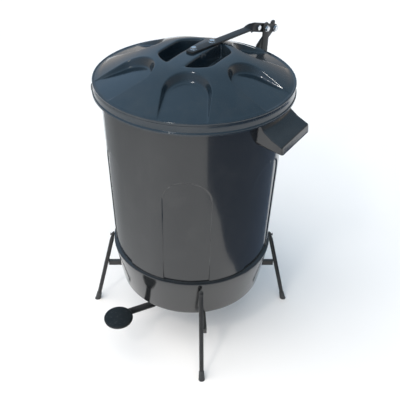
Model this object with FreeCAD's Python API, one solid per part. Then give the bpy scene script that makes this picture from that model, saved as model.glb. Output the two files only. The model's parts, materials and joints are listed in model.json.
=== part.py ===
import FreeCAD, Part

import math
import os

# Round bin on a four-leg stand, with a pedal that lifts the lid through a push rod.
# Millimetres, +Z up, origin on the floor below the bin's axis.
# The pedal points to -Y and the lid hinge is at +Y.
# An azimuth of 0 is -Y, 90 is +X and 180 is +Y.

V = FreeCAD.Vector

# --- bin ---------------------------------------------------------------
BASE_Z = 173.0
BASE_R = 216.0
LEDGE_Z = 311.0
LEDGE_R = 238.5
BARREL_FOOT_R = 232.0
RIM_Z = 815.0
BARREL_TOP_R = 244.8
FLANGE_R = 247.2
FLANGE_T = 5.0
WALL = 4.0
PANEL_COUNT = 6
PANEL_AZ = 39.5
PANEL_HALF_W = 64.0
PANEL_ARCH_Z = 590.0
PANEL_DEPTH = 1.8

# --- side handles ------------------------------------------------------
HANDLE_AZ = PANEL_AZ + 60.0
HANDLE_HALF_W = 74.0
HANDLE_WALL = 3.0
SKIN_GAP = 0.04

# --- lid ---------------------------------------------------------------
LID_T = 3.0
LIP_R = 265.5
LIP_Z = 799.5
BEAD_R = 263.0
BEAD_Z = 831.5
CROWN_Z = 895.5
PETAL_COUNT = 6
PETAL_AZ = 37.0
PETAL_HALF_W = 59.0
PETAL_START = 113.0
PETAL_END = 256.5
PETAL_FLOOR_IN = 867.0
PETAL_FLOOR_OUT = 829.0
SCOOP_R = 92.0
SCOOP_REACH = 78.0
SCOOP_Z = 853.0
SCOOP_FILLET = 10.0
BRIDGE_AZ = 12.0
BRIDGE_HALF_W = 25.0
SEAT_RIB_R = 246.5

# --- flat steel stock --------------------------------------------------
BAR_W = 25.0
BAR_T = 5.0

# --- lid arm, link and rod, in the X = 0 plane --------------------------
HINGE_Y = 340.5
HINGE_Z = 867.5
ROD_Y = 284.0
ROD_TOP_Z = 883.5
ARM_FRONT_Y = -24.0
ARM_TWIST_Y = (203.0, 236.0)
ARM_BOLT_Y = (-6.0, 65.0)
ARM_WASHER_DROP = (0.1, 2.2)
LINK_W = 22.0
LINK_BOLT_FRACTION = 0.36
LINK_START_Y = 238.0
ROD_X = 4.5
LINK_X = -7.5
POST_X = -15.0


# --- post, its stay and the rear rail ------------------------------------
POST_KNEE_Z = 826.0
POST_BOLT_Z = 206.0
BRACKET_T = 5.0
STAY_Z = 690.0
STAY_T = 4.0
STAY_SCREW_X = (POST_X - 12, POST_X - 30)
RAIL_X = (POST_X - 31, POST_X - 6.5)
RAIL_BOLT_X = POST_X - 18.5

# --- fasteners ---------------------------------------------------------
BOLT_R = 4.0
RUN_FIT = 0.06
HEX_ACROSS = 13.05
HEAD_T = 4.8
NUT_T = 6.5
WASHER_R = 8.5
WASHER_T = 1.5
SCREW_R = 2.5
SCREW_HEAD_R = 4.75
FIT = 0.02
SIDE_GAP = 0.3

# --- stand -------------------------------------------------------------
LEG_R = 6.5
LEG_FOOT_R = 315.5
LEG_TOP_R = 243.5
LEG_TOP_Z = 297.0
LEG_AZ = {
    "front_right": 49.5,
    "rear_right": 138.0,
    "rear_left": -138.0,
    "front_left": -49.5,
}
FOOT_R = 9.5
FOOT_H = 26.0
CROSS_W = 10.0
CROSS_H = 18.0
CROSS_Z = 147.0
CROSS_BACK = 8.0
PIVOT_BAR_TOP = CROSS_Z + CROSS_H - 4
RING_R = (184.0, 203.0)
LEG_SCREW_Z = 285.0
LEG_SCREW_HEAD = 0.6

# --- pedal lever -------------------------------------------------------
PIVOT_Y = 100.0
PIVOT_Z = 110.5
SLEEVE_R = 7.0
LEVER_REAR_Y = 298.0
LEVER_BEND_Y = -175.0
LEVER_RISE_Y = -268.0
LEVER_RISE_Z = 157.0
PEDAL_Y = -309.5
PEDAL_R = 42.0
ROD_PIN_Y = 281.0
ROD_PIN_Z = 142.0
ROD_EYE_R = 7.7
ROD_EYE_SHIFT = (2.6, -1.4)
EAR_T = 4.0
EAR_GAP = 17.0
FORK_PLAY = 1.5
PEDAL_PLATE_T = 3.0
PEDAL_PAD_T = 9.0
PEDAL_SCREW_Y = (PEDAL_Y - 14, PEDAL_Y + 14)
BRACKET_SCREW_Y = (PIVOT_Y - 4.5, PIVOT_Y + 4.5)


def polar(radius, azimuth, z):
    a = math.radians(azimuth)
    return V(radius * math.sin(a), -radius * math.cos(a), z)


def axis_box(x, y, z):
    """Box from three (low, high) pairs."""
    box = Part.makeBox(x[1] - x[0], y[1] - y[0], z[1] - z[0])
    box.translate(V(x[0], y[0], z[0]))
    return box


def cylinder(radius, start, end):
    way = end - start
    return Part.makeCylinder(radius, way.Length, start, way)


def cross_hole(y, z, radius):
    """Cutter along X."""
    return cylinder(radius, V(-60, y, z), V(60, y, z))


def upright_hole(x, y, radius):
    """Cutter along Z through everything at a place."""
    return cylinder(radius, V(x, y, 90), V(x, y, 940))


def rounded_wire(points):
    """Closed wire through (vector, corner radius) pairs, with arcs at the corners."""
    count = len(points)
    corners = []
    for i in range(count):
        before = points[i - 1][0]
        here, radius = points[i]
        after = points[(i + 1) % count][0]
        if radius <= 0:
            corners.append((here, None, here))
            continue
        a = (before - here).normalize()
        b = (after - here).normalize()
        half = a.getAngle(b) / 2.0
        reach = radius / math.tan(half)
        centre = here + (a + b).normalize() * (radius / math.sin(half))
        middle = centre + (here - centre).normalize() * radius
        corners.append((here + a * reach, middle, here + b * reach))
    edges = []
    for i in range(count):
        start, middle, end = corners[i]
        if middle is not None:
            edges.append(Part.Arc(start, middle, end).toShape())
        following = corners[(i + 1) % count][0]
        if (following - end).Length > 1e-6:
            edges.append(Part.makeLine(end, following))
    return Part.Wire(edges)


def revolve(points):
    """Solid of revolution about Z from (radius, z, corner radius) points."""
    wire = rounded_wire([(V(r, 0, z), c) for r, z, c in points])
    return Part.Face(wire).revolve(V(0, 0, 0), V(0, 0, 1), 360)


def prism_x(points, x_low, x_high):
    """Prism along X from (y, z, corner radius) points."""
    wire = rounded_wire([(V(x_low, y, z), c) for y, z, c in points])
    return Part.Face(wire).extrude(V(x_high - x_low, 0, 0))


def turned(shape, azimuth):
    """Copy of a shape drawn toward -Y, turned to an azimuth."""
    copy = shape.copy()
    copy.rotate(V(0, 0, 0), V(0, 0, 1), azimuth)
    return copy


def hex_prism(start, way, across, length):
    """Hexagonal prism with the given width across flats."""
    radius = across / math.sqrt(3.0)
    points = []
    for i in range(7):
        a = math.radians(60.0 * i)
        points.append(V(radius * math.cos(a), radius * math.sin(a), 0))
    solid = Part.Face(Part.makePolygon(points)).extrude(V(0, 0, length))
    dome = Part.makeCone(radius * 1.32, radius * 0.86, length)
    solid = solid.common(dome)
    turn = FreeCAD.Rotation(V(0, 0, 1), way)
    solid.Placement = FreeCAD.Placement(start, turn)
    return solid


def hex_bolt(head_at, way, shank):
    """Hex-head bolt: the shank runs from head_at along way, the head stands behind."""
    step = V(way).normalize()
    head = hex_prism(head_at, step * -1.0, HEX_ACROSS, HEAD_T)
    rod = cylinder(BOLT_R, head_at, head_at + step * shank)
    return head.fuse(rod).removeSplitter()


def hex_nut(start, way):
    step = V(way).normalize()
    nut = hex_prism(start, step, HEX_ACROSS, NUT_T)
    return nut.cut(cylinder(BOLT_R + FIT, start - step, start + step * (NUT_T + 1)))


def washer(start, way, thickness=WASHER_T, radius=WASHER_R):
    step = V(way).normalize()
    disc = cylinder(radius, start, start + step * thickness)
    return disc.cut(cylinder(BOLT_R + 0.1, start - step, start + step * (thickness + 1)))


def save(name, *solids):
    shape = solids[0] if len(solids) == 1 else Part.makeCompound(list(solids))
    shape.exportStep("parts/" + name + ".step")


def barrel_outer(z, extra=0.0):
    """Outer radius of the upper barrel at a height."""
    share = (z - LEDGE_Z) / (RIM_Z - LEDGE_Z)
    return BARREL_FOOT_R + share * (BARREL_TOP_R - BARREL_FOOT_R) + extra


def barrel_core(extra=0.0):
    """Filled cone of the upper barrel, to cut neighbours or spare the wall."""
    core = Part.makeCone(barrel_outer(LEDGE_Z, extra), barrel_outer(RIM_Z, extra), RIM_Z - LEDGE_Z)
    core.translate(V(0, 0, LEDGE_Z))
    return core


def band_outer(z):
    """Outer radius of the lower band at a height."""
    share = (z - BASE_Z) / (LEDGE_Z - BASE_Z)
    return BASE_R + share * (LEDGE_R - BASE_R)


def bin_shell():
    outer = [
        (0, BASE_Z, 0),
        (BASE_R, BASE_Z, 9),
        (LEDGE_R, LEDGE_Z - 3, 2),
        (LEDGE_R - 0.6, LEDGE_Z, 0.8),
        (BARREL_FOOT_R, LEDGE_Z + 0.6, 1.2),
        (BARREL_TOP_R - 0.2, RIM_Z - FLANGE_T - 3, 2),
        (FLANGE_R, RIM_Z - FLANGE_T, 1.5),
        (FLANGE_R, RIM_Z, 2),
    ]
    inner = [
        (BARREL_TOP_R - WALL, RIM_Z, 1.5),
        (BARREL_FOOT_R - WALL, LEDGE_Z + 3, 6),
        (LEDGE_R - WALL, LEDGE_Z - 14, 6),
        (BASE_R - WALL + 0.5, BASE_Z + WALL, 7),
        (0, BASE_Z + WALL, 0),
    ]
    return revolve(outer + inner)


def panel_cutter():
    """Arch-topped outline toward -Y that reaches PANEL_DEPTH into the barrel wall."""
    w = PANEL_HALF_W
    foot = LEDGE_Z + 0.8
    crown = PANEL_ARCH_Z
    edges = [
        Part.makeLine(V(-w, 0, foot), V(w, 0, foot)),
        Part.makeLine(V(w, 0, foot), V(w, 0, crown)),
        Part.Arc(V(w, 0, crown), V(0, 0, crown + w), V(-w, 0, crown)).toShape(),
        Part.makeLine(V(-w, 0, crown), V(-w, 0, foot)),
    ]
    prism = Part.Face(Part.Wire(edges)).extrude(V(0, -300, 0))
    return prism.cut(barrel_core(-PANEL_DEPTH))


def make_bin():
    shell = bin_shell()
    cutter = panel_cutter()
    for k in range(PANEL_COUNT):
        shell = shell.cut(turned(cutter, PANEL_AZ + k * 360.0 / PANEL_COUNT))
    return shell


def make_handle(azimuth):
    """Open-bottomed hand hold: a sloping hood with two side gussets."""
    hood = [
        (-230, 797, 0),
        (-247, 797, 0),
        (-256, 779, 8),
        (-275, 764, 16),
        (-301, 751, 3),
        (-304, 730, 1),
        (-230, 740, 0),
    ]
    cavity = [
        (-230, 790, 0),
        (-243, 790, 0),
        (-253.4, 777, 6),
        (-273.5, 761, 14),
        (-298, 748.5, 2),
        (-301, 718, 0),
        (-230, 718, 0),
    ]
    inside = HANDLE_HALF_W - HANDLE_WALL
    solid = prism_x(hood, -HANDLE_HALF_W, HANDLE_HALF_W)
    solid = solid.cut(prism_x(cavity, -inside, inside))
    return turned(solid.cut(barrel_core(SKIN_GAP)), azimuth)


def lid_solid(inset, drop):
    """Filled lid form, shrunk by inset at the skirt and lowered by drop on top."""
    skirt = LIP_R - 3.0 - inset
    points = [
        (0, LIP_Z - drop, 0),
        (LIP_R - inset, LIP_Z - drop, 1.5 if inset == 0 else 0),
        (LIP_R - inset, LIP_Z + 5, 1.5),
        (skirt, LIP_Z + 7, 1),
        (skirt - 1.0, BEAD_Z - 9, 1),
        (BEAD_R - inset, BEAD_Z - 7, 1.5),
        (BEAD_R - inset, BEAD_Z - drop, 2.5),
        (257, BEAD_Z - 1.0 - drop, 2.5),
        (214, 850.5 - drop, 60),
        (160, 874.5 - drop, 60),
        (108, 890.0 - drop, 60),
        (60, CROWN_Z - drop, 20),
        (0, CROWN_Z - drop, 0),
    ]
    if inset > 0:
        top = BEAD_Z - 3 - drop
        points[1:8] = [
            (LIP_R - 6.0, LIP_Z - drop, 0),
            (LIP_R - 6.5, top, 2),
            (254, top - 0.5, 2),
        ]
    return revolve(points)


def petal_cutter(grow, drop):
    """Stadium-shaped pocket toward -Y with a floor that slopes to the rim."""
    w = PETAL_HALF_W + grow
    bend = -(PETAL_START + PETAL_HALF_W)
    edges = [
        Part.Arc(V(w, bend, 0), V(0, bend + w, 0), V(-w, bend, 0)).toShape(),
        Part.makeLine(V(-w, bend, 0), V(-w, -290, 0)),
        Part.makeLine(V(-w, -290, 0), V(w, -290, 0)),
        Part.makeLine(V(w, -290, 0), V(w, bend, 0)),
    ]
    plan = Part.Face(Part.Wire(edges)).extrude(V(0, 0, 200))
    plan.translate(V(0, 0, 800))
    slope = (PETAL_FLOOR_IN - PETAL_FLOOR_OUT) / (PETAL_END - PETAL_START)
    near = PETAL_FLOOR_IN + slope * PETAL_START - drop
    far = PETAL_FLOOR_IN - slope * (300 - PETAL_START) - drop
    above = prism_x([(0, near, 0), (-300, far, 0), (-300, 1000, 0), (0, 1000, 0)], -90, 90)
    reach = cylinder(PETAL_END + grow, V(0, 0, 700), V(0, 0, 1100))
    return plan.common(above).common(reach)


def scoop_cutter(side, grow, drop):
    """Finger pocket on one side of the bridge."""
    disc = cylinder(SCOOP_R + grow, V(0, 0, SCOOP_Z - drop), V(0, 0, 960))
    near = side * (BRIDGE_HALF_W - grow)
    far = side * (SCOOP_REACH + grow)
    span = (min(near, far), max(near, far))
    pocket = disc.common(axis_box(span, (-120, 120), (SCOOP_Z - drop, 960)))
    upright = [e for e in pocket.Edges if e.BoundBox.ZLength > 60]
    return turned(pocket.makeFillet(SCOOP_FILLET + grow, upright), BRIDGE_AZ)


def rib_ring():
    """Seat rib under the lid that stands on the bin's rim."""
    low = RIM_Z + 0.4
    ring = cylinder(SEAT_RIB_R, V(0, 0, low), V(0, 0, BEAD_Z))
    return ring.cut(cylinder(SEAT_RIB_R - 4, V(0, 0, low - 1), V(0, 0, BEAD_Z + 1)))


def make_lid():
    outer = lid_solid(0.0, 0.0)
    inner = lid_solid(1.0, LID_T)
    wall = 2.6
    for k in range(PETAL_COUNT):
        a = PETAL_AZ + k * 360.0 / PETAL_COUNT
        outer = outer.cut(turned(petal_cutter(0.0, 0.0), a))
        inner = inner.cut(turned(petal_cutter(wall, LID_T), a))
    for side in (-1, 1):
        outer = outer.cut(scoop_cutter(side, 0.0, 0.0))
        inner = inner.cut(scoop_cutter(side, wall, LID_T))
    inner = inner.cut(rib_ring())
    lid = outer.cut(inner)
    for y in ARM_BOLT_Y:
        lid = lid.cut(upright_hole(0, y, BOLT_R + 0.3))
    return lid


def link_point(y):
    """Height of the line through the rod and hinge pivots."""
    return ROD_TOP_Z + (y - ROD_Y) * (HINGE_Z - ROD_TOP_Z) / (HINGE_Y - ROD_Y)


def bar_section(y, z, twist, lean):
    """Cross-section of the flat bar at a station, turned about its own length."""
    a = math.radians(twist)
    b = math.radians(lean)
    corners = []
    for u, w in ((-1, -1), (1, -1), (1, 1), (-1, 1), (-1, -1)):
        s = u * BAR_W / 2
        t = w * BAR_T / 2
        x = s * math.cos(a) - t * math.sin(a)
        h = s * math.sin(a) + t * math.cos(a)
        corners.append(V(x, y - h * math.sin(b), z + h * math.cos(b)))
    return Part.makePolygon(corners)


def make_arm():
    """Flat bar on the lid that turns on edge before the pivots."""
    mid = CROWN_Z + BAR_T / 2
    start, end = ARM_TWIST_Y
    flat = axis_box((-BAR_W / 2, BAR_W / 2), (ARM_FRONT_Y, start), (CROWN_Z, CROWN_Z + BAR_T))
    corner = [e for e in flat.Edges if e.BoundBox.ZLength > 4 and e.CenterOfMass.y < start - 1]
    flat = flat.makeFillet(8, corner)
    lean = math.degrees(math.atan2(HINGE_Z - ROD_TOP_Z, HINGE_Y - ROD_Y))
    steps = 6
    sections = []
    for i in range(steps + 1):
        share = i / steps
        y = start + share * (end - start)
        z = mid + share * (link_point(end) - mid)
        sections.append(bar_section(y, z, -90 * share, lean * share))
    twist = Part.makeLoft(sections, True, True)
    edge = strap(end, ROD_Y, BAR_W, -BAR_T / 2, BAR_T)
    arm = flat.fuse(twist).fuse(edge).removeSplitter()
    for y in ARM_BOLT_Y:
        arm = arm.cut(upright_hole(0, y, BOLT_R + 0.3))
    for y in (link_bolt_y(), ROD_Y):
        arm = arm.cut(cross_hole(y, link_point(y), BOLT_R + FIT))
    return arm


def strap(y_start, y_end, width, x, thickness):
    """Flat bar on edge along the pivot line, square at the start and round at the end."""
    way = V(0, HINGE_Y - ROD_Y, HINGE_Z - ROD_TOP_Z).normalize()
    up = V(0, -way.z, way.y)
    a = V(x, y_start, link_point(y_start))
    b = V(x, y_end, link_point(y_end))
    half = up * (width / 2)
    edges = [
        Part.makeLine(a - half, b - half),
        Part.Arc(b - half, b + way * (width / 2), b + half).toShape(),
        Part.makeLine(b + half, a + half),
        Part.makeLine(a + half, a - half),
    ]
    return Part.Face(Part.Wire(edges)).extrude(V(thickness, 0, 0))


def link_bolt_y():
    return LINK_START_Y + LINK_BOLT_FRACTION * (ROD_Y - LINK_START_Y)


def make_link():
    link = strap(LINK_START_Y, HINGE_Y, LINK_W, LINK_X, BAR_T)
    for y in (link_bolt_y(), ROD_Y):
        link = link.cut(cross_hole(y, link_point(y), BOLT_R + FIT))
    return link.cut(cross_hole(HINGE_Y, HINGE_Z, BOLT_R + RUN_FIT))


def make_rod():
    """Flat push rod with a close hole at the top and a loose eye at the foot."""
    half = BAR_W / 2
    top = ROD_TOP_Z + 17
    foot = ROD_PIN_Z - 15
    outline = [
        (ROD_Y - half, foot, 5),
        (ROD_Y + half, foot, 5),
        (ROD_Y + half, ROD_TOP_Z + 6, 5),
        (ROD_Y + 4, top, 4),
        (ROD_Y - 4, top, 4),
        (ROD_Y - half, ROD_TOP_Z + 6, 5),
    ]
    rod = prism_x(outline, ROD_X, ROD_X + BAR_T)
    rod = rod.cut(cross_hole(ROD_Y, ROD_TOP_Z, BOLT_R + RUN_FIT))
    eye_y = ROD_PIN_Y + ROD_EYE_SHIFT[0]
    eye_z = ROD_PIN_Z + ROD_EYE_SHIFT[1]
    return rod.cut(cross_hole(eye_y, eye_z, ROD_EYE_R))


def make_post():
    """Fixed flat bar that rises behind the bin and leans out to the hinge."""
    half = BAR_W / 2
    knee = POST_KNEE_Z
    foot = POST_BOLT_Z - 14
    out_y = HINGE_Y - ROD_Y
    out_z = HINGE_Z - knee
    length = math.hypot(out_y, out_z)
    ny = -out_z / length * half
    nz = out_y / length * half
    outline = [
        (ROD_Y - half, foot, 3),
        (ROD_Y + half, foot, 3),
        (ROD_Y + half, knee - 3, 12),
        (HINGE_Y - ny + 3, HINGE_Z - nz + 3, 8),
        (HINGE_Y + 8, HINGE_Z + 20, 5),
        (HINGE_Y - 6, HINGE_Z + 20, 5),
        (HINGE_Y + ny - 3, HINGE_Z + nz - 2, 6),
        (ROD_Y - half, knee + 5, 12),
    ]
    post = prism_x(outline, POST_X, POST_X + BAR_T)
    holes = [(HINGE_Y, HINGE_Z), (ROD_Y, POST_BOLT_Z), (ROD_Y, STAY_Z)]
    for y, z in holes:
        post = post.cut(cross_hole(y, z, BOLT_R + FIT))
    return post


def make_post_bracket():
    """Angle that stands the post on the rear rail."""
    y = (ROD_Y - BAR_W / 2, ROD_Y + BAR_W / 2)
    upright = axis_box((POST_X - BRACKET_T, POST_X), y, (CROSS_Z, POST_BOLT_Z + 16))
    sole = axis_box((RAIL_X[0], POST_X), y, (CROSS_Z, CROSS_Z + BRACKET_T))
    bracket = upright.fuse(sole).removeSplitter()
    bracket = bracket.cut(cross_hole(ROD_Y, POST_BOLT_Z, BOLT_R + FIT))
    return bracket.cut(upright_hole(RAIL_BOLT_X, ROD_Y, BOLT_R + FIT))


def make_stay():
    """Angle that ties the post to the bin wall."""
    z = (STAY_Z - 15, STAY_Z + 15)
    wall_y = barrel_outer(STAY_Z) - 0.2
    arm = axis_box((POST_X - STAY_T, POST_X), (wall_y, ROD_Y + 10), z)
    foot = axis_box((POST_X - 40, POST_X), (wall_y - 4, wall_y + 4), z)
    stay = arm.fuse(foot).removeSplitter()
    stay = stay.cut(barrel_core()).cut(cross_hole(ROD_Y, STAY_Z, BOLT_R + FIT))
    for x in STAY_SCREW_X:
        stay = stay.cut(cylinder(SCREW_R + FIT, V(x, 200, STAY_Z), V(x, 270, STAY_Z)))
    return stay


def pan_screw(head_at, way, shank):
    """Small domed screw: the head stands behind head_at."""
    step = V(way).normalize()
    head = cylinder(SCREW_HEAD_R, head_at - step * 2.6, head_at)
    rim = [e for e in head.Edges if (e.CenterOfMass - (head_at - step * 2.6)).Length < 0.1]
    head = head.makeFillet(1.6, rim)
    return head.fuse(cylinder(SCREW_R, head_at, head_at + step * shank)).removeSplitter()


def leg_line(azimuth):
    return polar(LEG_FOOT_R, azimuth, 4.0), polar(LEG_TOP_R, azimuth, LEG_TOP_Z)


def leg_axis_radius(z):
    """Distance of a leg's axis from the bin's axis at a height."""
    foot, top = leg_line(0)
    return LEG_FOOT_R + (z - foot.z) / (top.z - foot.z) * (LEG_TOP_R - LEG_FOOT_R)


def make_leg(azimuth):
    """Round leg with a rounded top, a screw hole and a flat seat for the screw's head."""
    foot, top = leg_line(azimuth)
    leg = cylinder(LEG_R, foot, top)
    crown = [e for e in leg.Edges if e.CenterOfMass.z > LEG_TOP_Z - 3 and e.Length > 30]
    leg = leg.makeFillet(3, crown[:1])
    radius = leg_axis_radius(LEG_SCREW_Z)
    seat = radius + LEG_R + LEG_SCREW_HEAD
    inner = polar(radius - 20, azimuth, LEG_SCREW_Z)
    seat_at = polar(seat, azimuth, LEG_SCREW_Z)
    outer = polar(seat + 10, azimuth, LEG_SCREW_Z)
    leg = leg.cut(cylinder(SCREW_R + FIT, inner, outer))
    return leg.cut(cylinder(SCREW_HEAD_R + 0.3, seat_at, outer))


def foot_cap(azimuth):
    """Tapered rubber ferrule with a flat sole."""
    foot, top = leg_line(azimuth)
    way = (top - foot).normalize()
    start = foot - way * 12
    cone = Part.makeCone(FOOT_R, FOOT_R - 1.8, FOOT_H + 14, start, way)
    cone = cone.cut(axis_box((-400, 400), (-400, 400), (-40, 0)))
    return cone.cut(cylinder(LEG_R, foot, top))


def leg_fixing(azimuth):
    """Screw and nut that hold a leg top to the band."""
    seat = leg_axis_radius(LEG_SCREW_Z) + LEG_R + LEG_SCREW_HEAD
    way = polar(1, azimuth, 0)
    head_at = polar(seat, azimuth, LEG_SCREW_Z)
    shank = seat - (band_outer(LEG_SCREW_Z) - WALL - 7)
    screw = pan_screw(head_at, way * -1.0, shank)
    inner = band_outer(LEG_SCREW_Z) - WALL - 1.2
    start = polar(inner, azimuth, LEG_SCREW_Z)
    nut = cylinder(5.0, start, start - way * 4.5)
    nut = nut.cut(cylinder(SCREW_R + FIT, start + way, start - way * 6))
    return screw, nut


def cross_bar(front, rear, side):
    """Bar from one front leg to the opposite rear leg, beside both legs."""
    share = (CROSS_Z + CROSS_H / 2) / LEG_TOP_Z
    radius = LEG_FOOT_R + share * (LEG_TOP_R - LEG_FOOT_R)
    a = polar(radius, front, 0)
    b = polar(radius, rear, 0)
    way = (b - a).normalize()
    normal = V(way.y, -way.x, 0) * side
    shift = normal * (LEG_R + CROSS_W / 2 - 0.3)
    a = a + shift + way * CROSS_BACK
    b = b + shift - way * CROSS_BACK
    n = normal * (CROSS_W / 2)
    ring = [a - n, b - n, b + n, a + n, a - n]
    bar = Part.Face(Part.makePolygon(ring)).extrude(V(0, 0, CROSS_H))
    bar.translate(V(0, 0, CROSS_Z))
    return bar


def make_lever():
    """Flat bar, bent up in front of the stand to carry the pedal."""
    top = PIVOT_Z + SLEEVE_R + BAR_T
    low = PIVOT_Z + SLEEVE_R
    outline = [
        (LEVER_REAR_Y, low, 0),
        (LEVER_REAR_Y, top, 0),
        (LEVER_BEND_Y, top, 22),
        (LEVER_RISE_Y, LEVER_RISE_Z + BAR_T / 2, 14),
        (PEDAL_Y - 26, LEVER_RISE_Z + BAR_T / 2, 0),
        (PEDAL_Y - 26, LEVER_RISE_Z - BAR_T / 2, 0),
        (LEVER_RISE_Y - 1, LEVER_RISE_Z - BAR_T / 2, 19),
        (LEVER_BEND_Y - 1, low, 17),
    ]
    lever = prism_x(outline, -BAR_W / 2, BAR_W / 2)
    for y in PEDAL_SCREW_Y:
        lever = lever.cut(upright_hole(0, y, SCREW_R + FIT))
    return lever


def make_fork():
    """Two ears on the lever that hold the push rod's pin."""
    base_z = PIVOT_Z + SLEEVE_R + BAR_T
    gap = (ROD_X - FORK_PLAY, ROD_X + BAR_T + FORK_PLAY)
    y = (ROD_PIN_Y - 11, ROD_PIN_Y + 11)
    ears = []
    for x in (gap[0] - EAR_T, gap[1]):
        plate = prism_x(
            [
                (y[0], base_z, 0),
                (y[1], base_z, 0),
                (y[1], ROD_PIN_Z + 9, 7),
                (y[0], ROD_PIN_Z + 9, 7),
            ],
            x,
            x + EAR_T,
        )
        ears.append(plate.cut(cross_hole(ROD_PIN_Y, ROD_PIN_Z, BOLT_R + FIT)))
    return ears


def make_pivot_bracket():
    """U-shaped hanger with two ears for the lever's pivot bolt."""
    y = (PIVOT_Y - 12, PIVOT_Y + 12)
    low = PIVOT_Z - 11
    plate = axis_box((-EAR_GAP - EAR_T, EAR_GAP + EAR_T), y, (CROSS_Z - EAR_T, CROSS_Z))
    for side in (-1, 1):
        inner = side * EAR_GAP
        outer = side * (EAR_GAP + EAR_T)
        span = (min(inner, outer), max(inner, outer))
        ear = prism_x(
            [(y[0], low, 8), (y[1], low, 8), (y[1], CROSS_Z, 0), (y[0], CROSS_Z, 0)],
            span[0],
            span[1],
        )
        plate = plate.fuse(ear)
    plate = plate.removeSplitter()
    plate = plate.cut(cross_hole(PIVOT_Y, PIVOT_Z, BOLT_R + FIT))
    for y_at in BRACKET_SCREW_Y:
        plate = plate.cut(upright_hole(0, y_at, SCREW_R + FIT))
    return plate


def make_pivot_bar(cross_a, cross_b):
    """Bar between the two rear cross-bar halves that carries the lever's hanger."""
    reach = 118.0
    bar = axis_box((-reach, reach), (PIVOT_Y - 8, PIVOT_Y + 8), (CROSS_Z, PIVOT_BAR_TOP))
    bar = bar.cut(cross_a).cut(cross_b)
    bar = min(bar.Solids, key=lambda solid: abs(solid.CenterOfMass.x))
    for y in BRACKET_SCREW_Y:
        bar = bar.cut(upright_hole(0, y, SCREW_R + FIT))
    return bar.cut(upright_hole(RAIL_BOLT_X, PIVOT_Y, BOLT_R + FIT))


def drill_bin(shell):
    """Screw holes in the wall for the legs and the stay."""
    for azimuth in LEG_AZ.values():
        inner = polar(200, azimuth, LEG_SCREW_Z)
        outer = polar(260, azimuth, LEG_SCREW_Z)
        shell = shell.cut(cylinder(SCREW_R + FIT, inner, outer))
    for x in STAY_SCREW_X:
        shell = shell.cut(cylinder(SCREW_R + FIT, V(x, 220, STAY_Z), V(x, 260, STAY_Z)))
    return shell


def save_bin_and_lid():
    save("bin_body", drill_bin(make_bin()))
    save("handle_right", make_handle(HANDLE_AZ))
    save("handle_left", make_handle(HANDLE_AZ + 180.0))
    save("lid_shell", make_lid())


def save_legs():
    for name, azimuth in LEG_AZ.items():
        save("leg_" + name, make_leg(azimuth))
    save("foot_caps", *[foot_cap(azimuth) for azimuth in LEG_AZ.values()])
    fixings = [leg_fixing(azimuth) for azimuth in LEG_AZ.values()]
    save("leg_screws", *[screw for screw, nut in fixings])
    save("leg_nuts", *[nut for screw, nut in fixings])


def save_cross_frame():
    """Half-lapped cross bars, the ring that the bin sits on and the bar for the hanger."""
    bar_a = cross_bar(LEG_AZ["front_right"], LEG_AZ["rear_left"], 1)
    bar_b = cross_bar(LEG_AZ["front_left"], LEG_AZ["rear_right"], -1)
    middle = CROSS_Z + CROSS_H / 2
    top = CROSS_Z + CROSS_H
    upper = axis_box((-60, 60), (-60, 60), (middle, top + 1))
    lower = axis_box((-60, 60), (-60, 60), (CROSS_Z - 1, middle))
    save("cross_bar_a", bar_a.cut(bar_b.common(upper)))
    save("cross_bar_b", bar_b.cut(bar_a.common(lower)))
    ring = cylinder(RING_R[1], V(0, 0, top), V(0, 0, BASE_Z))
    save("seat_ring", ring.cut(cylinder(RING_R[0], V(0, 0, top - 1), V(0, 0, BASE_Z + 1))))
    save("pivot_bar", make_pivot_bar(bar_a, bar_b))


def save_lever_hanger():
    save("pivot_bracket", make_pivot_bracket())
    screws = [pan_screw(V(0, y, CROSS_Z - EAR_T), V(0, 0, 1), 16) for y in BRACKET_SCREW_Y]
    save("bracket_screws", *screws)
    reach = EAR_GAP + EAR_T
    head_at = V(reach + WASHER_T, PIVOT_Y, PIVOT_Z)
    save("pivot_bolt", hex_bolt(head_at, V(-1, 0, 0), 2 * reach + 2 * WASHER_T + NUT_T + 2))
    near = washer(V(reach, PIVOT_Y, PIVOT_Z), V(1, 0, 0))
    far = washer(V(-reach, PIVOT_Y, PIVOT_Z), V(-1, 0, 0))
    save("pivot_washers", near, far)
    save("pivot_nut", hex_nut(V(-reach - WASHER_T, PIVOT_Y, PIVOT_Z), V(-1, 0, 0)))


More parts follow.
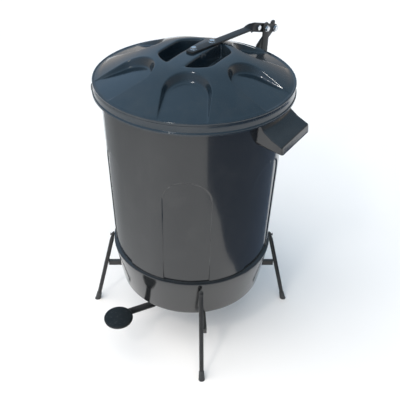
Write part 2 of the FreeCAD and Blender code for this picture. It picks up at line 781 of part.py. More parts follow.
def save_rear_frame():
    """Rail, post, post bracket and stay, with their bolts, nuts and screws."""
    rail = axis_box(RAIL_X, (PIVOT_Y - 8, ROD_Y + 14), (CROSS_Z - BAR_T, CROSS_Z))
    rail_bolts = []
    rail_nuts = []
    for y, z in ((PIVOT_Y, PIVOT_BAR_TOP), (ROD_Y, CROSS_Z + BRACKET_T)):
        rail = rail.cut(upright_hole(RAIL_BOLT_X, y, BOLT_R + FIT))
        shank = z - CROSS_Z + BAR_T + NUT_T + 2
        rail_bolts.append(hex_bolt(V(RAIL_BOLT_X, y, z), V(0, 0, -1), shank))
        rail_nuts.append(hex_nut(V(RAIL_BOLT_X, y, CROSS_Z - BAR_T), V(0, 0, -1)))
    save("rear_rail", rail)
    save("rail_bolts", *rail_bolts)
    save("rail_nuts", *rail_nuts)

    save("hinge_post", make_post())
    save("post_bracket", make_post_bracket())
    save("stay_bracket", make_stay())
    post_bolts = []
    post_nuts = []
    for z, back in ((POST_BOLT_Z, POST_X - BRACKET_T), (STAY_Z, POST_X - STAY_T)):
        head_at = V(POST_X + BAR_T, ROD_Y, z)
        post_bolts.append(hex_bolt(head_at, V(-1, 0, 0), head_at.x - back + NUT_T + 2))
        post_nuts.append(hex_nut(V(back, ROD_Y, z), V(-1, 0, 0)))
    save("post_bolts", *post_bolts)
    save("post_nuts", *post_nuts)
    face_y = barrel_outer(STAY_Z) + 3.8
    save("stay_screws", *[pan_screw(V(x, face_y, STAY_Z), V(0, -1, 0), 16) for x in STAY_SCREW_X])


def save_hinge():
    """Bolt, washers, spacer and nut on the lid's pivot."""
    face = LINK_X + BAR_T + SIDE_GAP
    thin = WASHER_T - 0.1
    head_at = V(face + thin, HINGE_Y, HINGE_Z)
    shank = head_at.x - POST_X + WASHER_T + NUT_T + 2
    save("hinge_bolt", hex_bolt(head_at, V(-1, 0, 0), shank))
    near = washer(V(face, HINGE_Y, HINGE_Z), V(1, 0, 0), thin)
    far = washer(V(POST_X, HINGE_Y, HINGE_Z), V(-1, 0, 0))
    save("hinge_washers", near, far)
    start = POST_X + BAR_T
    save("hinge_spacer", washer(V(start, HINGE_Y, HINGE_Z), V(1, 0, 0), LINK_X - SIDE_GAP - start))
    save("hinge_nut", hex_nut(V(POST_X - WASHER_T, HINGE_Y, HINGE_Z), V(-1, 0, 0)))


def save_arm_and_link():
    """Lid arm and hinge link, with the bolts through the lid and between the two."""
    save("lid_arm", make_arm())
    save("hinge_link", make_link())
    arm_top = CROWN_Z + BAR_T
    bolts = []
    washers = []
    nuts = []
    for y, drop in zip(ARM_BOLT_Y, ARM_WASHER_DROP):
        under = CROWN_Z - LID_T - drop
        bolts.append(hex_bolt(V(0, y, arm_top + WASHER_T), V(0, 0, -1), 24))
        washers.append(washer(V(0, y, arm_top), V(0, 0, 1)))
        washers.append(washer(V(0, y, under), V(0, 0, -1)))
        nuts.append(hex_nut(V(0, y, under - WASHER_T), V(0, 0, -1)))
    save("arm_bolts", *bolts)
    save("arm_washers", *washers)
    save("arm_nuts", *nuts)
    y = link_bolt_y()
    z = link_point(y)
    save("link_bolt", hex_bolt(V(BAR_T / 2, y, z), V(-1, 0, 0), 2 * BAR_T + NUT_T + 2))
    save("link_nut", hex_nut(V(LINK_X, y, z), V(-1, 0, 0)))


def save_rod():
    """Push rod and the bolt that it hangs on."""
    save("push_rod", make_rod())
    face = ROD_X + BAR_T + SIDE_GAP
    head_at = V(face + WASHER_T, ROD_Y, ROD_TOP_Z)
    save("rod_bolt", hex_bolt(head_at, V(-1, 0, 0), head_at.x - LINK_X + NUT_T + 2))
    near = washer(V(face, ROD_Y, ROD_TOP_Z), V(1, 0, 0))
    far = washer(V(BAR_T / 2, ROD_Y, ROD_TOP_Z), V(1, 0, 0), ROD_X - SIDE_GAP - BAR_T / 2)
    save("rod_washers", near, far)
    save("rod_nut", hex_nut(V(LINK_X, ROD_Y, ROD_TOP_Z), V(-1, 0, 0)))


def save_lever():
    """Pedal lever with its pivot sleeve, fork, pin and clips."""
    save("pedal_lever", make_lever())
    half = EAR_GAP - 0.5
    sleeve = cylinder(SLEEVE_R, V(-half, PIVOT_Y, PIVOT_Z), V(half, PIVOT_Y, PIVOT_Z))
    save("lever_sleeve", sleeve.cut(cross_hole(PIVOT_Y, PIVOT_Z, BOLT_R + RUN_FIT)))
    save("lever_fork", *make_fork())
    reach = FORK_PLAY + EAR_T + 3.5
    low = ROD_X - reach
    high = ROD_X + BAR_T + reach
    save("rod_pin", cylinder(BOLT_R, V(low, ROD_PIN_Y, ROD_PIN_Z), V(high, ROD_PIN_Y, ROD_PIN_Z)))
    clips = []
    for x in (low + 1.2, high - 2.8):
        ring = cylinder(BOLT_R + 3, V(x, ROD_PIN_Y, ROD_PIN_Z), V(x + 1.6, ROD_PIN_Y, ROD_PIN_Z))
        clips.append(ring.cut(cross_hole(ROD_PIN_Y, ROD_PIN_Z, BOLT_R)))
    save("pin_clips", *clips)


def save_pedal():
    """Steel plate on the lever's front end and the rubber pad moulded round it."""
    low = LEVER_RISE_Z + BAR_T / 2
    plate = cylinder(PEDAL_R - 3, V(0, PEDAL_Y, low), V(0, PEDAL_Y, low + PEDAL_PLATE_T))
    pad = cylinder(PEDAL_R, V(0, PEDAL_Y, low), V(0, PEDAL_Y, low + PEDAL_PAD_T))
    rim = [e for e in pad.Edges if e.CenterOfMass.z > low + PEDAL_PAD_T - 1 and e.Length > 100]
    pad = pad.makeFillet(3.5, rim).cut(plate)
    screws = []
    for y in PEDAL_SCREW_Y:
        hole = cylinder(SCREW_R + FIT, V(0, y, 140), V(0, y, low + 7))
        plate = plate.cut(hole)
        pad = pad.cut(hole)
        screws.append(pan_screw(V(0, y, LEVER_RISE_Z - BAR_T / 2), V(0, 0, 1), 11))
    save("pedal_plate", plate)
    save("pedal_pad", pad)
    save("pedal_screws", *screws)


def main():
    os.makedirs("parts", exist_ok=True)
    save_bin_and_lid()
    save_legs()
    save_cross_frame()
    save_lever_hanger()
    save_rear_frame()
    save_hinge()
    save_arm_and_link()
    save_rod()
    save_lever()
    save_pedal()


main()
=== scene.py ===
import json
import math
import random

import bmesh
import bpy
import numpy as np
from mathutils import Matrix, Vector

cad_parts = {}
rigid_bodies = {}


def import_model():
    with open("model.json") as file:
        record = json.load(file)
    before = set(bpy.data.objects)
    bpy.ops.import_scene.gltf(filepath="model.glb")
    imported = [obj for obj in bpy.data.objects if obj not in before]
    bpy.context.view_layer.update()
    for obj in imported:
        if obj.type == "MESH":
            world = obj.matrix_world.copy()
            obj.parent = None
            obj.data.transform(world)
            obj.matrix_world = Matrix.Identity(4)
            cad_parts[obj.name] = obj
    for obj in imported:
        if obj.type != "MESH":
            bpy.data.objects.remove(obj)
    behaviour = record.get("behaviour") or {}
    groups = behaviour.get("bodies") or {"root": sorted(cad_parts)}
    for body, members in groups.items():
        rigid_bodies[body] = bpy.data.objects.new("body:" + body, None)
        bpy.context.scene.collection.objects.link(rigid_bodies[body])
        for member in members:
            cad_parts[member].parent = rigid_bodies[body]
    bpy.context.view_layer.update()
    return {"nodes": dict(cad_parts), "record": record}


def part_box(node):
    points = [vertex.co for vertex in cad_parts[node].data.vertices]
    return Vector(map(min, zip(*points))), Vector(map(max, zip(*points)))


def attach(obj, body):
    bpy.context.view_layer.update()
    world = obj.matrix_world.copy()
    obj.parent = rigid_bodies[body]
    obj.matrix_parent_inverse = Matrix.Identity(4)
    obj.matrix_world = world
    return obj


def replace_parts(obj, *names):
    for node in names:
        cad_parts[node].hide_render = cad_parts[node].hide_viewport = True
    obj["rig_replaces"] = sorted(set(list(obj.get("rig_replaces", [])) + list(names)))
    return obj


random.seed(11)
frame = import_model()

TAU = 2 * math.pi
UP = Vector((0, 0, 1))
CAMERA_AZ = 43.0
WALL = 0.004
PANEL_AZ = 39.5
PANEL_HALF = 0.064
PANEL_DEPTH = 0.0026
LEG_R = 0.0065
BAR_W, BAR_T = 0.025, 0.005
ACROSS, HEAD_T, NUT_T = 0.013, 0.0048, 0.0065
BOLT_R, TIP_TO_AXIS = 0.004, 0.00755
WASHER_R, WASHER_BORE, WASHER_T = 0.0085, 0.0042, 0.0015
SCREW_HEAD_R, SCREW_HEAD_T, SCREW_R = 0.00475, 0.0026, 0.0025


# ---------------------------------------------------------------- mesh helpers
def placed(name, data):
    obj = bpy.data.objects.new(name, data)
    bpy.context.scene.collection.objects.link(obj)
    return obj


def new_object(name, form, body, nodes=(), slot="black_steel", smooth=35):
    """Mesh object from (vertices, faces) that rides on a body and stands for CAD nodes."""
    verts, faces = form
    mesh = bpy.data.meshes.new(name)
    mesh.from_pydata([tuple(map(float, v)) for v in verts], [], [tuple(map(int, f)) for f in faces])
    mesh.update()
    obj = placed(name, mesh)
    mesh.materials.append(FINISH[slot])
    finish_mesh(mesh, smooth)
    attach(obj, body)
    if nodes:
        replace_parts(obj, *nodes)
    return obj


def finish_mesh(mesh, smooth):
    """Outward normals, and smooth shading that keeps edges sharper than an angle."""
    bm = bmesh.new()
    bm.from_mesh(mesh)
    bmesh.ops.recalc_face_normals(bm, faces=bm.faces)
    for face in bm.faces:
        face.smooth = True
    limit = math.radians(smooth)
    for edge in bm.edges:
        if len(edge.link_faces) == 2:
            edge.smooth = edge.calc_face_angle(0.0) < limit
    bm.to_mesh(mesh)
    bm.free()


def join_parts(parts):
    """One vertex and face list from several."""
    verts, faces = [], []
    for v, f in parts:
        base = len(verts)
        verts.extend(v)
        faces.extend([tuple(i + base for i in face) for face in f])
    return verts, faces


def grid_faces(rows, cols, wrap_cols=True, wrap_rows=False):
    """Quads between neighbouring rows of points."""
    faces = []
    last_row = rows if wrap_rows else rows - 1
    last_col = cols if wrap_cols else cols - 1
    for i in range(last_row):
        j = (i + 1) % rows
        for k in range(last_col):
            n = (k + 1) % cols
            faces.append((i * cols + k, i * cols + n, j * cols + n, j * cols + k))
    return faces


def capped_grid(rows, cols):
    """Quads between closed rings, with a face across the first ring and the last."""
    faces = grid_faces(rows, cols)
    faces.append(tuple(range(cols)))
    faces.append(tuple((rows - 1) * cols + k for k in range(cols))[::-1])
    return faces


def axis_frame(start, axis):
    """Start point, unit axis and two directions across it."""
    axis = Vector(axis).normalized()
    side = axis.orthogonal().normalized()
    return Vector(start), axis, side, axis.cross(side)


def arc_corner(path, radii, step=0.0006):
    """Polyline through 2-D points with rounded corners."""
    out = [Vector(path[0])]
    for i in range(1, len(path) - 1):
        here = Vector(path[i])
        a = (Vector(path[i - 1]) - here).normalized()
        b = (Vector(path[i + 1]) - here).normalized()
        r = radii[i]
        half = a.angle(b) / 2
        if r <= 0 or half > math.pi / 2 - 0.01:
            out.append(here)
            continue
        reach = r / math.tan(half)
        centre = here + (a + b).normalized() * (r / math.sin(half))
        start = here + a * reach
        sweep = math.pi - 2 * half
        count = max(2, min(16, int(r * sweep / step) + 1))
        turn = 1 if (a.x * b.y - a.y * b.x) < 0 else -1
        spoke = start - centre
        for k in range(count + 1):
            t = turn * sweep * k / count
            out.append(centre + Vector((
                spoke.x * math.cos(t) - spoke.y * math.sin(t),
                spoke.x * math.sin(t) + spoke.y * math.cos(t),
            )))
    out.append(Vector(path[-1]))
    return out


def thin_out(points, gap):
    """Adds points so that no step along a 2-D path is longer than gap."""
    out = [points[0]]
    for p in points[1:]:
        n = max(1, int(math.ceil((p - out[-1]).length / gap)))
        a = out[-1]
        for k in range(1, n + 1):
            out.append(a.lerp(p, k / n))
    return out


def lathe(profile, start, axis, cols=48, closed=False):
    """Turned form: profile of (radius, height) about an axis from a start point."""
    start, axis, side, other = axis_frame(start, axis)
    verts = []
    for r, h in profile:
        for k in range(cols):
            a = TAU * k / cols
            verts.append(start + axis * h + (side * math.cos(a) + other * math.sin(a)) * max(r, 0.0))
    return verts, grid_faces(len(profile), cols, True, True) if closed else capped_grid(len(profile), cols)


def hexagon(start, axis, height, bore=0.0, turn=0.0, both=True, across=ACROSS, cols=72):
    """Hexagonal nut or head with chamfered corners, hollow where bore is set."""
    start, axis, side, other = axis_frame(start, axis)
    flat = across / 2
    levels = [0.0, 0.04, 0.1, 0.18, 0.5, 0.82, 0.9, 0.96, 1.0]
    verts = []
    for share in levels:
        edge = min(share, 1 - share) if both else 1 - share
        limit = flat * (0.99 + 0.9 * edge)
        for k in range(cols):
            a = TAU * k / cols + turn
            inner = (a % (TAU / 6)) - TAU / 12
            r = min(flat / math.cos(inner), limit, flat * 1.1547)
            verts.append(start + axis * (height * share) + (side * math.cos(a) + other * math.sin(a)) * r)
    inside = ((bore * 1.18, 1.0), (bore, 0.9), (bore, 0.1), (bore * 1.18, 0.0))
    crown = ((flat * 0.8, 1.0), (flat * 0.35, 0.985))
    more = inside if bore > 0 else crown
    for r, h in more:
        for k in range(cols):
            a = TAU * k / cols + turn
            verts.append(start + axis * (height * h) + (side * math.cos(a) + other * math.sin(a)) * r)
    rows = len(levels) + len(more)
    return verts, grid_faces(rows, cols, True, True) if bore > 0 else capped_grid(rows, cols)


def threaded(start, axis, length, radius=BOLT_R, pitch=0.00125):
    """Bolt shank end with a helical thread and a chamfered tip."""
    start, axis, side, other = axis_frame(start, axis)
    cols = 24
    rows = max(8, int(length / pitch * 6))
    verts = []
    for i in range(rows + 1):
        h = length * i / rows
        for k in range(cols):
            a = TAU * k / cols
            phase = (h / pitch + k / cols) % 1.0
            ridge = abs(phase * 2 - 1)
            tip = min(1.0, (length - h) / (radius * 0.35) + 0.55)
            r = radius * (0.86 + 0.13 * ridge) * tip
            verts.append(start + axis * h + (side * math.cos(a) + other * math.sin(a)) * r)
    return verts, capped_grid(rows + 1, cols)


def washer_ring(start, axis, height=WASHER_T):
    """Flat washer with broken edges."""
    e = min(0.0003, height * 0.3)
    profile = [(WASHER_BORE, e), (WASHER_BORE + e, 0), (WASHER_R - e, 0), (WASHER_R, e),
               (WASHER_R, height - e), (WASHER_R - e, height), (WASHER_BORE + e, height),
               (WASHER_BORE, height - e)]
    return lathe(profile, start, axis, 40, True)


def bar_sweep(stations, round_r=0.0009):
    """Rounded flat bar through (point, width direction, thickness direction) stations."""
    ring = []
    across, deep = BAR_W / 2 - round_r, BAR_T / 2 - round_r
    for cx, cy, a0 in ((across, deep, 0), (-across, deep, 90), (-across, -deep, 180), (across, -deep, 270)):
        for k in range(4):
            a = math.radians(a0 + 30 * k)
            ring.append((cx + round_r * math.cos(a), cy + round_r * math.sin(a)))
    verts = [p + u * s + w * t for p, u, w in stations for s, t in ring]
    return verts, capped_grid(len(stations), len(ring))


def plate_x(outline, radii, x_low, x_high, holes=(), edge=0.0007):
    """Flat bar in the Y-Z plane with rounded corners and softened rims, cut with round holes."""
    path = [outline[-1]] + list(outline) + [outline[0]]
    rad = [0] + list(radii) + [0]
    loop = arc_corner(path, rad, 0.0015)[1:-1]
    bm = bmesh.new()
    contour = [bm.verts.new((x_low, p.x, p.y)) for p in loop]
    edges = [bm.edges.new((contour[i], contour[(i + 1) % len(contour)])) for i in range(len(contour))]
    for cy, cz, r in holes:
        ring = [bm.verts.new((x_low, cy + r * math.cos(TAU * k / 32), cz + r * math.sin(TAU * k / 32)))
                for k in range(32)]
        edges += [bm.edges.new((ring[i], ring[(i + 1) % 32])) for i in range(32)]
    bmesh.ops.triangle_fill(bm, edges=edges, use_beauty=True)
    bmesh.ops.dissolve_limit(bm, angle_limit=0.01, verts=bm.verts, edges=bm.edges)
    faces = list(bm.faces)
    moved = bmesh.ops.extrude_face_region(bm, geom=faces)
    for v in [g for g in moved["geom"] if isinstance(g, bmesh.types.BMVert)]:
        v.co.x = x_high
    bmesh.ops.recalc_face_normals(bm, faces=bm.faces)
    rims = [e for e in bm.edges if len(e.link_faces) == 2 and e.calc_face_angle(0) > 1.2]
    bmesh.ops.bevel(bm, geom=rims, offset=edge, segments=2, affect="EDGES", profile=0.6)
    bm.verts.index_update()
    verts = [v.co.copy() for v in bm.verts]
    out = [tuple(v.index for v in f.verts) for f in bm.faces]
    bm.free()
    return verts, out


def weld_bead(points, radius):
    """Lumpy bead along a path."""
    verts, cols = [], 10
    rows = []
    for i in range(len(points) - 1):
        a, b = Vector(points[i]), Vector(points[i + 1])
        n = max(2, int((b - a).length / 0.0011))
        rows += [a.lerp(b, k / n) for k in range(n)]
    rows.append(Vector(points[-1]))
    for i, p in enumerate(rows):
        step = rows[min(i + 1, len(rows) - 1)] - rows[max(i - 1, 0)]
        _, _, side, other = axis_frame(p, step)
        end = min(1.0, 0.35 + 0.3 * min(i, len(rows) - 1 - i))
        r = radius * end * (0.86 + 0.16 * math.sin(i * 1.7) + 0.06 * random.random())
        for k in range(cols):
            a = TAU * k / cols
            verts.append(p + (side * math.cos(a) + other * math.sin(a)) * r)
    return verts, capped_grid(len(rows), cols)


def polar(radius, azimuth, z):
    a = math.radians(azimuth)
    return Vector((radius * math.sin(a), -radius * math.cos(a), z))


def smooth_step(edge0, edge1, x):
    t = np.clip((x - edge0) / (edge1 - edge0), 0, 1)
    return t * t * (3 - 2 * t)


# ---------------------------------------------------------------- materials
def node_material(name):
    material = bpy.data.materials.new(name)
    material.use_nodes = True
    tree = material.node_tree
    shader = tree.nodes["Principled BSDF"]
    return material, tree, shader


def add(tree, kind, **values):
    node = tree.nodes.new(kind)
    for key, value in values.items():
        if key in node.inputs:
            node.inputs[key].default_value = value
        else:
            setattr(node, key, value)
    return node


def noise(tree, vector, scale, detail=4.0, rough=0.55, distort=0.0):
    node = add(tree, "ShaderNodeTexNoise", Scale=scale, Detail=detail, Roughness=rough, Distortion=distort)
    tree.links.new(vector, node.inputs["Vector"])
    return node.outputs["Fac"]


def ramp(tree, value, stops):
    node = add(tree, "ShaderNodeValToRGB")
    elements = node.color_ramp.elements
    while len(elements) < len(stops):
        elements.new(0.5)
    for element, (place, colour) in zip(elements, stops):
        element.position = place
        element.color = colour if len(colour) == 4 else (*colour, 1)
    tree.links.new(value, node.inputs["Fac"])
    return node.outputs["Color"]


def grey(v):
    return (v, v, v, 1)


def remap(tree, value, low, high, from_low=0.0, from_high=1.0):
    node = add(tree, "ShaderNodeMapRange")
    node.inputs["From Min"].default_value = from_low
    node.inputs["From Max"].default_value = from_high
    node.inputs["To Min"].default_value = low
    node.inputs["To Max"].default_value = high
    tree.links.new(value, node.inputs["Value"])
    return node.outputs["Result"]


def mix_colour(tree, factor, a, b):
    node = add(tree, "ShaderNodeMix", data_type="RGBA")
    for socket, value in ((node.inputs[0], factor), (node.inputs[6], a), (node.inputs[7], b)):
        if isinstance(value, bpy.types.NodeSocket):
            tree.links.new(value, socket)
        else:
            socket.default_value = value
    return node.outputs[2]


def mapped(tree, scale=(1, 1, 1)):
    coords = add(tree, "ShaderNodeTexCoord")
    mapping = add(tree, "ShaderNodeMapping", Scale=scale)
    tree.links.new(coords.outputs["Object"], mapping.inputs["Vector"])
    return mapping.outputs["Vector"]


def bump(tree, height, strength, distance, normal=None):
    node = add(tree, "ShaderNodeBump", Strength=strength, Distance=distance)
    tree.links.new(height, node.inputs["Height"])
    if normal is not None:
        tree.links.new(normal, node.inputs["Normal"])
    return node.outputs["Normal"]


def moulded_plastic(name, dark, light, rough_low, rough_high, wave):
    """Glossy moulded polyethylene: slow swirls, long flow waves, hair scratches and a little dust."""
    material, tree, shader = node_material(name)
    even = mapped(tree)
    tall = mapped(tree, (1, 1, 0.22))
    swirl = noise(tree, tall, 5.5, 5, 0.6, 1.2)
    base = ramp(tree, swirl, [(0.3, dark), (0.72, light)])
    speck = noise(tree, even, 900, 2, 0.5)
    speck_mask = ramp(tree, speck, [(0.66, grey(0)), (0.78, grey(1))])
    dust = noise(tree, even, 16, 6, 0.65)
    dust_mask = ramp(tree, dust, [(0.5, grey(0)), (0.8, grey(0.22))])
    dusted = mix_colour(tree, dust_mask, base, (0.06, 0.059, 0.056, 1))
    specked = mix_colour(tree, speck_mask, dusted, (0.11, 0.11, 0.108, 1))
    faint = mix_colour(tree, 0.35, dusted, specked)
    tree.links.new(faint, shader.inputs["Base Color"])
    scratch = add(tree, "ShaderNodeTexWave", wave_type="BANDS", bands_direction="DIAGONAL",
                  Scale=60, Distortion=28, Detail=3)
    scratch.inputs["Detail Scale"].default_value = 2.2
    tree.links.new(mapped(tree, (1, 1, 0.35)), scratch.inputs["Vector"])
    lines = ramp(tree, scratch.outputs["Fac"], [(0.965, grey(0)), (0.995, grey(1))])
    grime = noise(tree, tall, 9, 5, 0.6)
    rough = remap(tree, grime, rough_low, rough_high, 0.3, 0.75)
    total = add(tree, "ShaderNodeMath", operation="MULTIPLY_ADD")
    tree.links.new(lines, total.inputs[0])
    total.inputs[1].default_value = 0.07
    tree.links.new(rough, total.inputs[2])
    tree.links.new(total.outputs[0], shader.inputs["Roughness"])
    soft = noise(tree, tall, 14, 2, 0.4)
    first = bump(tree, soft, wave, 0.004)
    fine = noise(tree, even, 420, 3, 0.6)
    second = bump(tree, fine, 0.045, 0.0006, first)
    third = bump(tree, lines, 0.05, 0.0003, second)
    tree.links.new(third, shader.inputs["Normal"])
    shader.inputs["IOR"].default_value = 1.52
    shader.inputs["Specular IOR Level"].default_value = 0.6
    shader.inputs["Coat Weight"].default_value = 0.25
    shader.inputs["Coat Roughness"].default_value = 0.06
    return material


def powder_coat(name):
    """Black powder coat on steel, with orange peel, chips and edge wear."""
    material, tree, shader = node_material(name)
    even = mapped(tree)
    tone = noise(tree, even, 30, 5, 0.6)
    base = ramp(tree, tone, [(0.3, (0.008, 0.0085, 0.009)), (0.7, (0.022, 0.022, 0.023))])
    chips = noise(tree, even, 190, 5, 0.7)
    chip_mask = ramp(tree, chips, [(0.7, grey(0)), (0.74, grey(1))])
    geometry = add(tree, "ShaderNodeNewGeometry")
    worn = ramp(tree, geometry.outputs["Pointiness"], [(0.53, grey(0)), (0.6, grey(0.75))])
    wear = mix_colour(tree, worn, base, (0.1, 0.098, 0.092, 1))
    chipped = mix_colour(tree, chip_mask, wear, (0.07, 0.06, 0.052, 1))
    tree.links.new(chipped, shader.inputs["Base Color"])
    grain = noise(tree, even, 320, 4, 0.6)
    tree.links.new(remap(tree, tone, 0.26, 0.44), shader.inputs["Roughness"])
    first = bump(tree, grain, 0.14, 0.0006)
    tree.links.new(bump(tree, chip_mask, 0.2, 0.0002, first), shader.inputs["Normal"])
    shader.inputs["IOR"].default_value = 1.5
    shader.inputs["Specular IOR Level"].default_value = 0.3
    shader.inputs["Coat Weight"].default_value = 0.08
    shader.inputs["Coat Roughness"].default_value = 0.2
    return material


def zinc_plate(name):
    """Bright zinc plating with faint mottling, drawn marks and dull spots."""
    material, tree, shader = node_material(name)
    even = mapped(tree)
    tone = noise(tree, even, 160, 5, 0.6)
    base = ramp(tree, tone, [(0.3, (0.62, 0.64, 0.66)), (0.7, (0.86, 0.87, 0.88))])
    spots = ramp(tree, noise(tree, even, 520, 3, 0.6), [(0.62, grey(0)), (0.72, grey(1))])
    tree.links.new(mix_colour(tree, spots, base, (0.42, 0.42, 0.4, 1)), shader.inputs["Base Color"])
    shader.inputs["Metallic"].default_value = 1.0
    tree.links.new(remap(tree, tone, 0.16, 0.34), shader.inputs["Roughness"])
    tree.links.new(bump(tree, noise(tree, even, 700, 3, 0.6), 0.12, 0.0003), shader.inputs["Normal"])
    return material


def moulded_rubber(name, dark, light, rough):
    """Dull rubber with a fine stipple and pale scuffing."""
    material, tree, shader = node_material(name)
    even = mapped(tree)
    tone = noise(tree, even, 60, 5, 0.6)
    base = ramp(tree, tone, [(0.3, dark), (0.75, light)])
    scuff = ramp(tree, noise(tree, even, 130, 6, 0.7), [(0.58, grey(0)), (0.75, grey(0.6))])
    tree.links.new(mix_colour(tree, scuff, base, (0.12, 0.12, 0.115, 1)), shader.inputs["Base Color"])
    tree.links.new(remap(tree, tone, rough - 0.07, rough + 0.08), shader.inputs["Roughness"])
    tree.links.new(bump(tree, noise(tree, even, 650, 3, 0.6), 0.18, 0.0004), shader.inputs["Normal"])
    shader.inputs["Specular IOR Level"].default_value = 0.4
    return material


FINISH = {
    "bin_plastic": moulded_plastic("bin_charcoal", (0.009, 0.0095, 0.0105), (0.0145, 0.015, 0.0155),
                                   0.09, 0.17, 0.02),
    "lid_plastic": moulded_plastic("lid_slate", (0.0065, 0.0125, 0.0185), (0.0105, 0.019, 0.027),
                                   0.1, 0.19, 0.02),
}
INNER_MAT = moulded_plastic("bin_inside", (0.010, 0.0105, 0.011), (0.016, 0.0165, 0.017), 0.35, 0.5, 0.03)
FINISH["black_steel"] = powder_coat("black_powder_coat")
FINISH["zinc_steel"] = zinc_plate("zinc_plate")
FINISH["foot_rubber"] = moulded_rubber("foot_rubber_grey", (0.028, 0.029, 0.03), (0.05, 0.05, 0.05), 0.5)
FINISH["pad_rubber"] = moulded_rubber("pad_rubber_black", (0.006, 0.007, 0.007), (0.012, 0.013, 0.013), 0.34)


# ---------------------------------------------------------------- bin barrel
def panel_share(azimuth, radius, z, base_z, arch_z):
    """0 outside and 1 inside the six arch-topped panels, with a rounded step between."""
    best = np.full(azimuth.shape, 1e3)
    for k in range(6):
        off = (azimuth - PANEL_AZ - 60 * k + 180) % 360 - 180
        x = radius * np.sin(np.radians(np.clip(off, -80, 80)))
        low = np.maximum(np.abs(x) - PANEL_HALF, base_z - z)
        round_top = np.hypot(x, z - arch_z) - PANEL_HALF
        inside = np.where(z > arch_z, round_top, low)
        best = np.minimum(best, inside)
    return 1 - smooth_step(-0.0013, 0.0004, best)


def make_barrel():
    """Bin: turned wall with base and flange, pressed in at the panels."""
    low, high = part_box("bin_body")
    z0, z1 = low.z, high.z
    flange = high.x
    ledge_z = z0 + 0.138
    path = [
        (0.0, z0), (0.2160, z0), (0.2385, ledge_z - 0.003), (0.2379, ledge_z), (0.2320, ledge_z + 0.0006),
        (0.2446, z1 - 0.008), (flange, z1 - 0.005), (flange, z1), (0.2408, z1),
        (0.2280, ledge_z + 0.003), (0.2345, ledge_z - 0.014), (0.2125, z0 + WALL), (0.0, z0 + WALL),
    ]
    radii = [0, 0.009, 0.0022, 0.001, 0.0014, 0.002, 0.0016, 0.0021, 0.0015, 0.006, 0.006, 0.007, 0]
    loop = arc_corner(path, radii, 0.0007)
    profile = []
    for a, b in zip(loop, loop[1:]):
        if (b - a).length > 0.2 and b.y > a.y:
            # the long outer wall has close rings at the panels' feet and arches
            z = a.y
            while z < b.y:
                profile.append(a.lerp(b, (z - a.y) / (b.y - a.y)))
                near_arch = ledge_z + 0.262 < z < ledge_z + 0.352
                near_foot = z < ledge_z + 0.012
                z += 0.0021 if near_arch else 0.0015 if near_foot else 0.015
        else:
            mid = (a + b) / 2
            inner_wall = mid.x > 0.22 and ledge_z < mid.y < ledge_z + 0.36
            profile += thin_out([a, b], 0.012 if inner_wall else 0.03)[:-1]
    profile.append(loop[-1])
    cols = 1440
    az = np.arange(cols) * 360.0 / cols
    rad = np.radians(az)
    outer_top = next(i for i, p in enumerate(profile) if p.y > z1 - 0.006)
    verts = []
    for i, p in enumerate(profile):
        r = np.full(cols, max(p.x, 0.0002))
        if p.y > ledge_z and i < outer_top:
            r = r - PANEL_DEPTH * panel_share(az, r, p.y, ledge_z + 0.0008, ledge_z + 0.279)
        verts.append(np.stack([r * np.sin(rad), -r * np.cos(rad), np.full(cols, p.y)], 1))
    form = (np.concatenate(verts), capped_grid(len(profile), cols))
    barrel = new_object("bin_barrel", form, "stand", ["bin_body"], "bin_plastic", 40)
    barrel.data.materials.append(INNER_MAT)
    for polygon in barrel.data.polygons:
        c = polygon.center
        if math.hypot(c.x, c.y) < 0.2405 and c.z > z0 + 0.003 and polygon.normal.xy.dot(c.xy) <= 0.0:
            polygon.material_index = 1


# ---------------------------------------------------------------- lid
PETAL_AZ = 37.0
PETAL_START = 0.113
PETAL_END = 0.2565
PETAL_FLOOR_IN = 0.0355
PETAL_FLOOR_OUT = -0.0025
SCOOP_FLOOR = 0.0215
BRIDGE_AZ = 12.0


def sd_petal(az, r, grow):
    """Distance to the nearest of six stadium-shaped petals in plan."""
    half = 0.059 + grow
    best = np.full(r.shape, 1e3)
    for k in range(6):
        off = np.radians((az - PETAL_AZ - 60 * k + 180) % 360 - 180)
        u = r * np.cos(off)
        v = r * np.sin(off)
        d = np.where(u < 0.172, np.hypot(u - 0.172, v) - half, np.abs(v) - half)
        best = np.minimum(best, np.where(np.cos(off) > 0, d, 1e3))
    return best


def sd_scoop(az, r, grow):
    """Distance to the nearest of the two finger scoops beside the bridge."""
    off = np.radians(az - BRIDGE_AZ)
    x = np.abs(r * np.sin(off))
    round_side = r - (0.092 + grow)
    near = (0.025 - grow) - x
    far = x - (0.078 + grow)
    flat = np.maximum(near, far)
    d = np.maximum(flat, round_side)
    k = 0.008
    h = np.clip(0.5 + 0.5 * (round_side - flat) / k, 0, 1)
    soft = flat * (1 - h) + round_side * h + k * h * (1 - h)
    return np.where(np.abs(round_side - flat) < k, soft, d)


def lid_height(az, r, top, crown, grow=0.0, drop=0.0):
    """Height of the lid's dome with its petals and scoops, whose outlines may grow."""
    knots_r = np.array([0.0, 0.045, 0.075, 0.108, 0.135, 0.160, 0.187, 0.214, 0.236, 0.252, 0.258])
    lift = crown - top
    shares = np.array([1.0, 0.998, 0.975, 0.918, 0.81, 0.665, 0.49, 0.297, 0.135, 0.012, -0.008])
    dome = smooth_curve(knots_r, top + lift * shares, r)
    slope = (PETAL_FLOOR_IN - PETAL_FLOOR_OUT) / (PETAL_END - PETAL_START)
    floor = top + PETAL_FLOOR_IN - slope * (r - PETAL_START)
    z = sink(dome, sd_petal(az, r, grow), floor, 2.6, 0.0009, 0.004)
    pit = top + SCOOP_FLOOR + 0.004 * (r / 0.09) ** 2
    return sink(z, sd_scoop(az, r, grow), pit, 7.0, 0.0012, 0.006) - drop


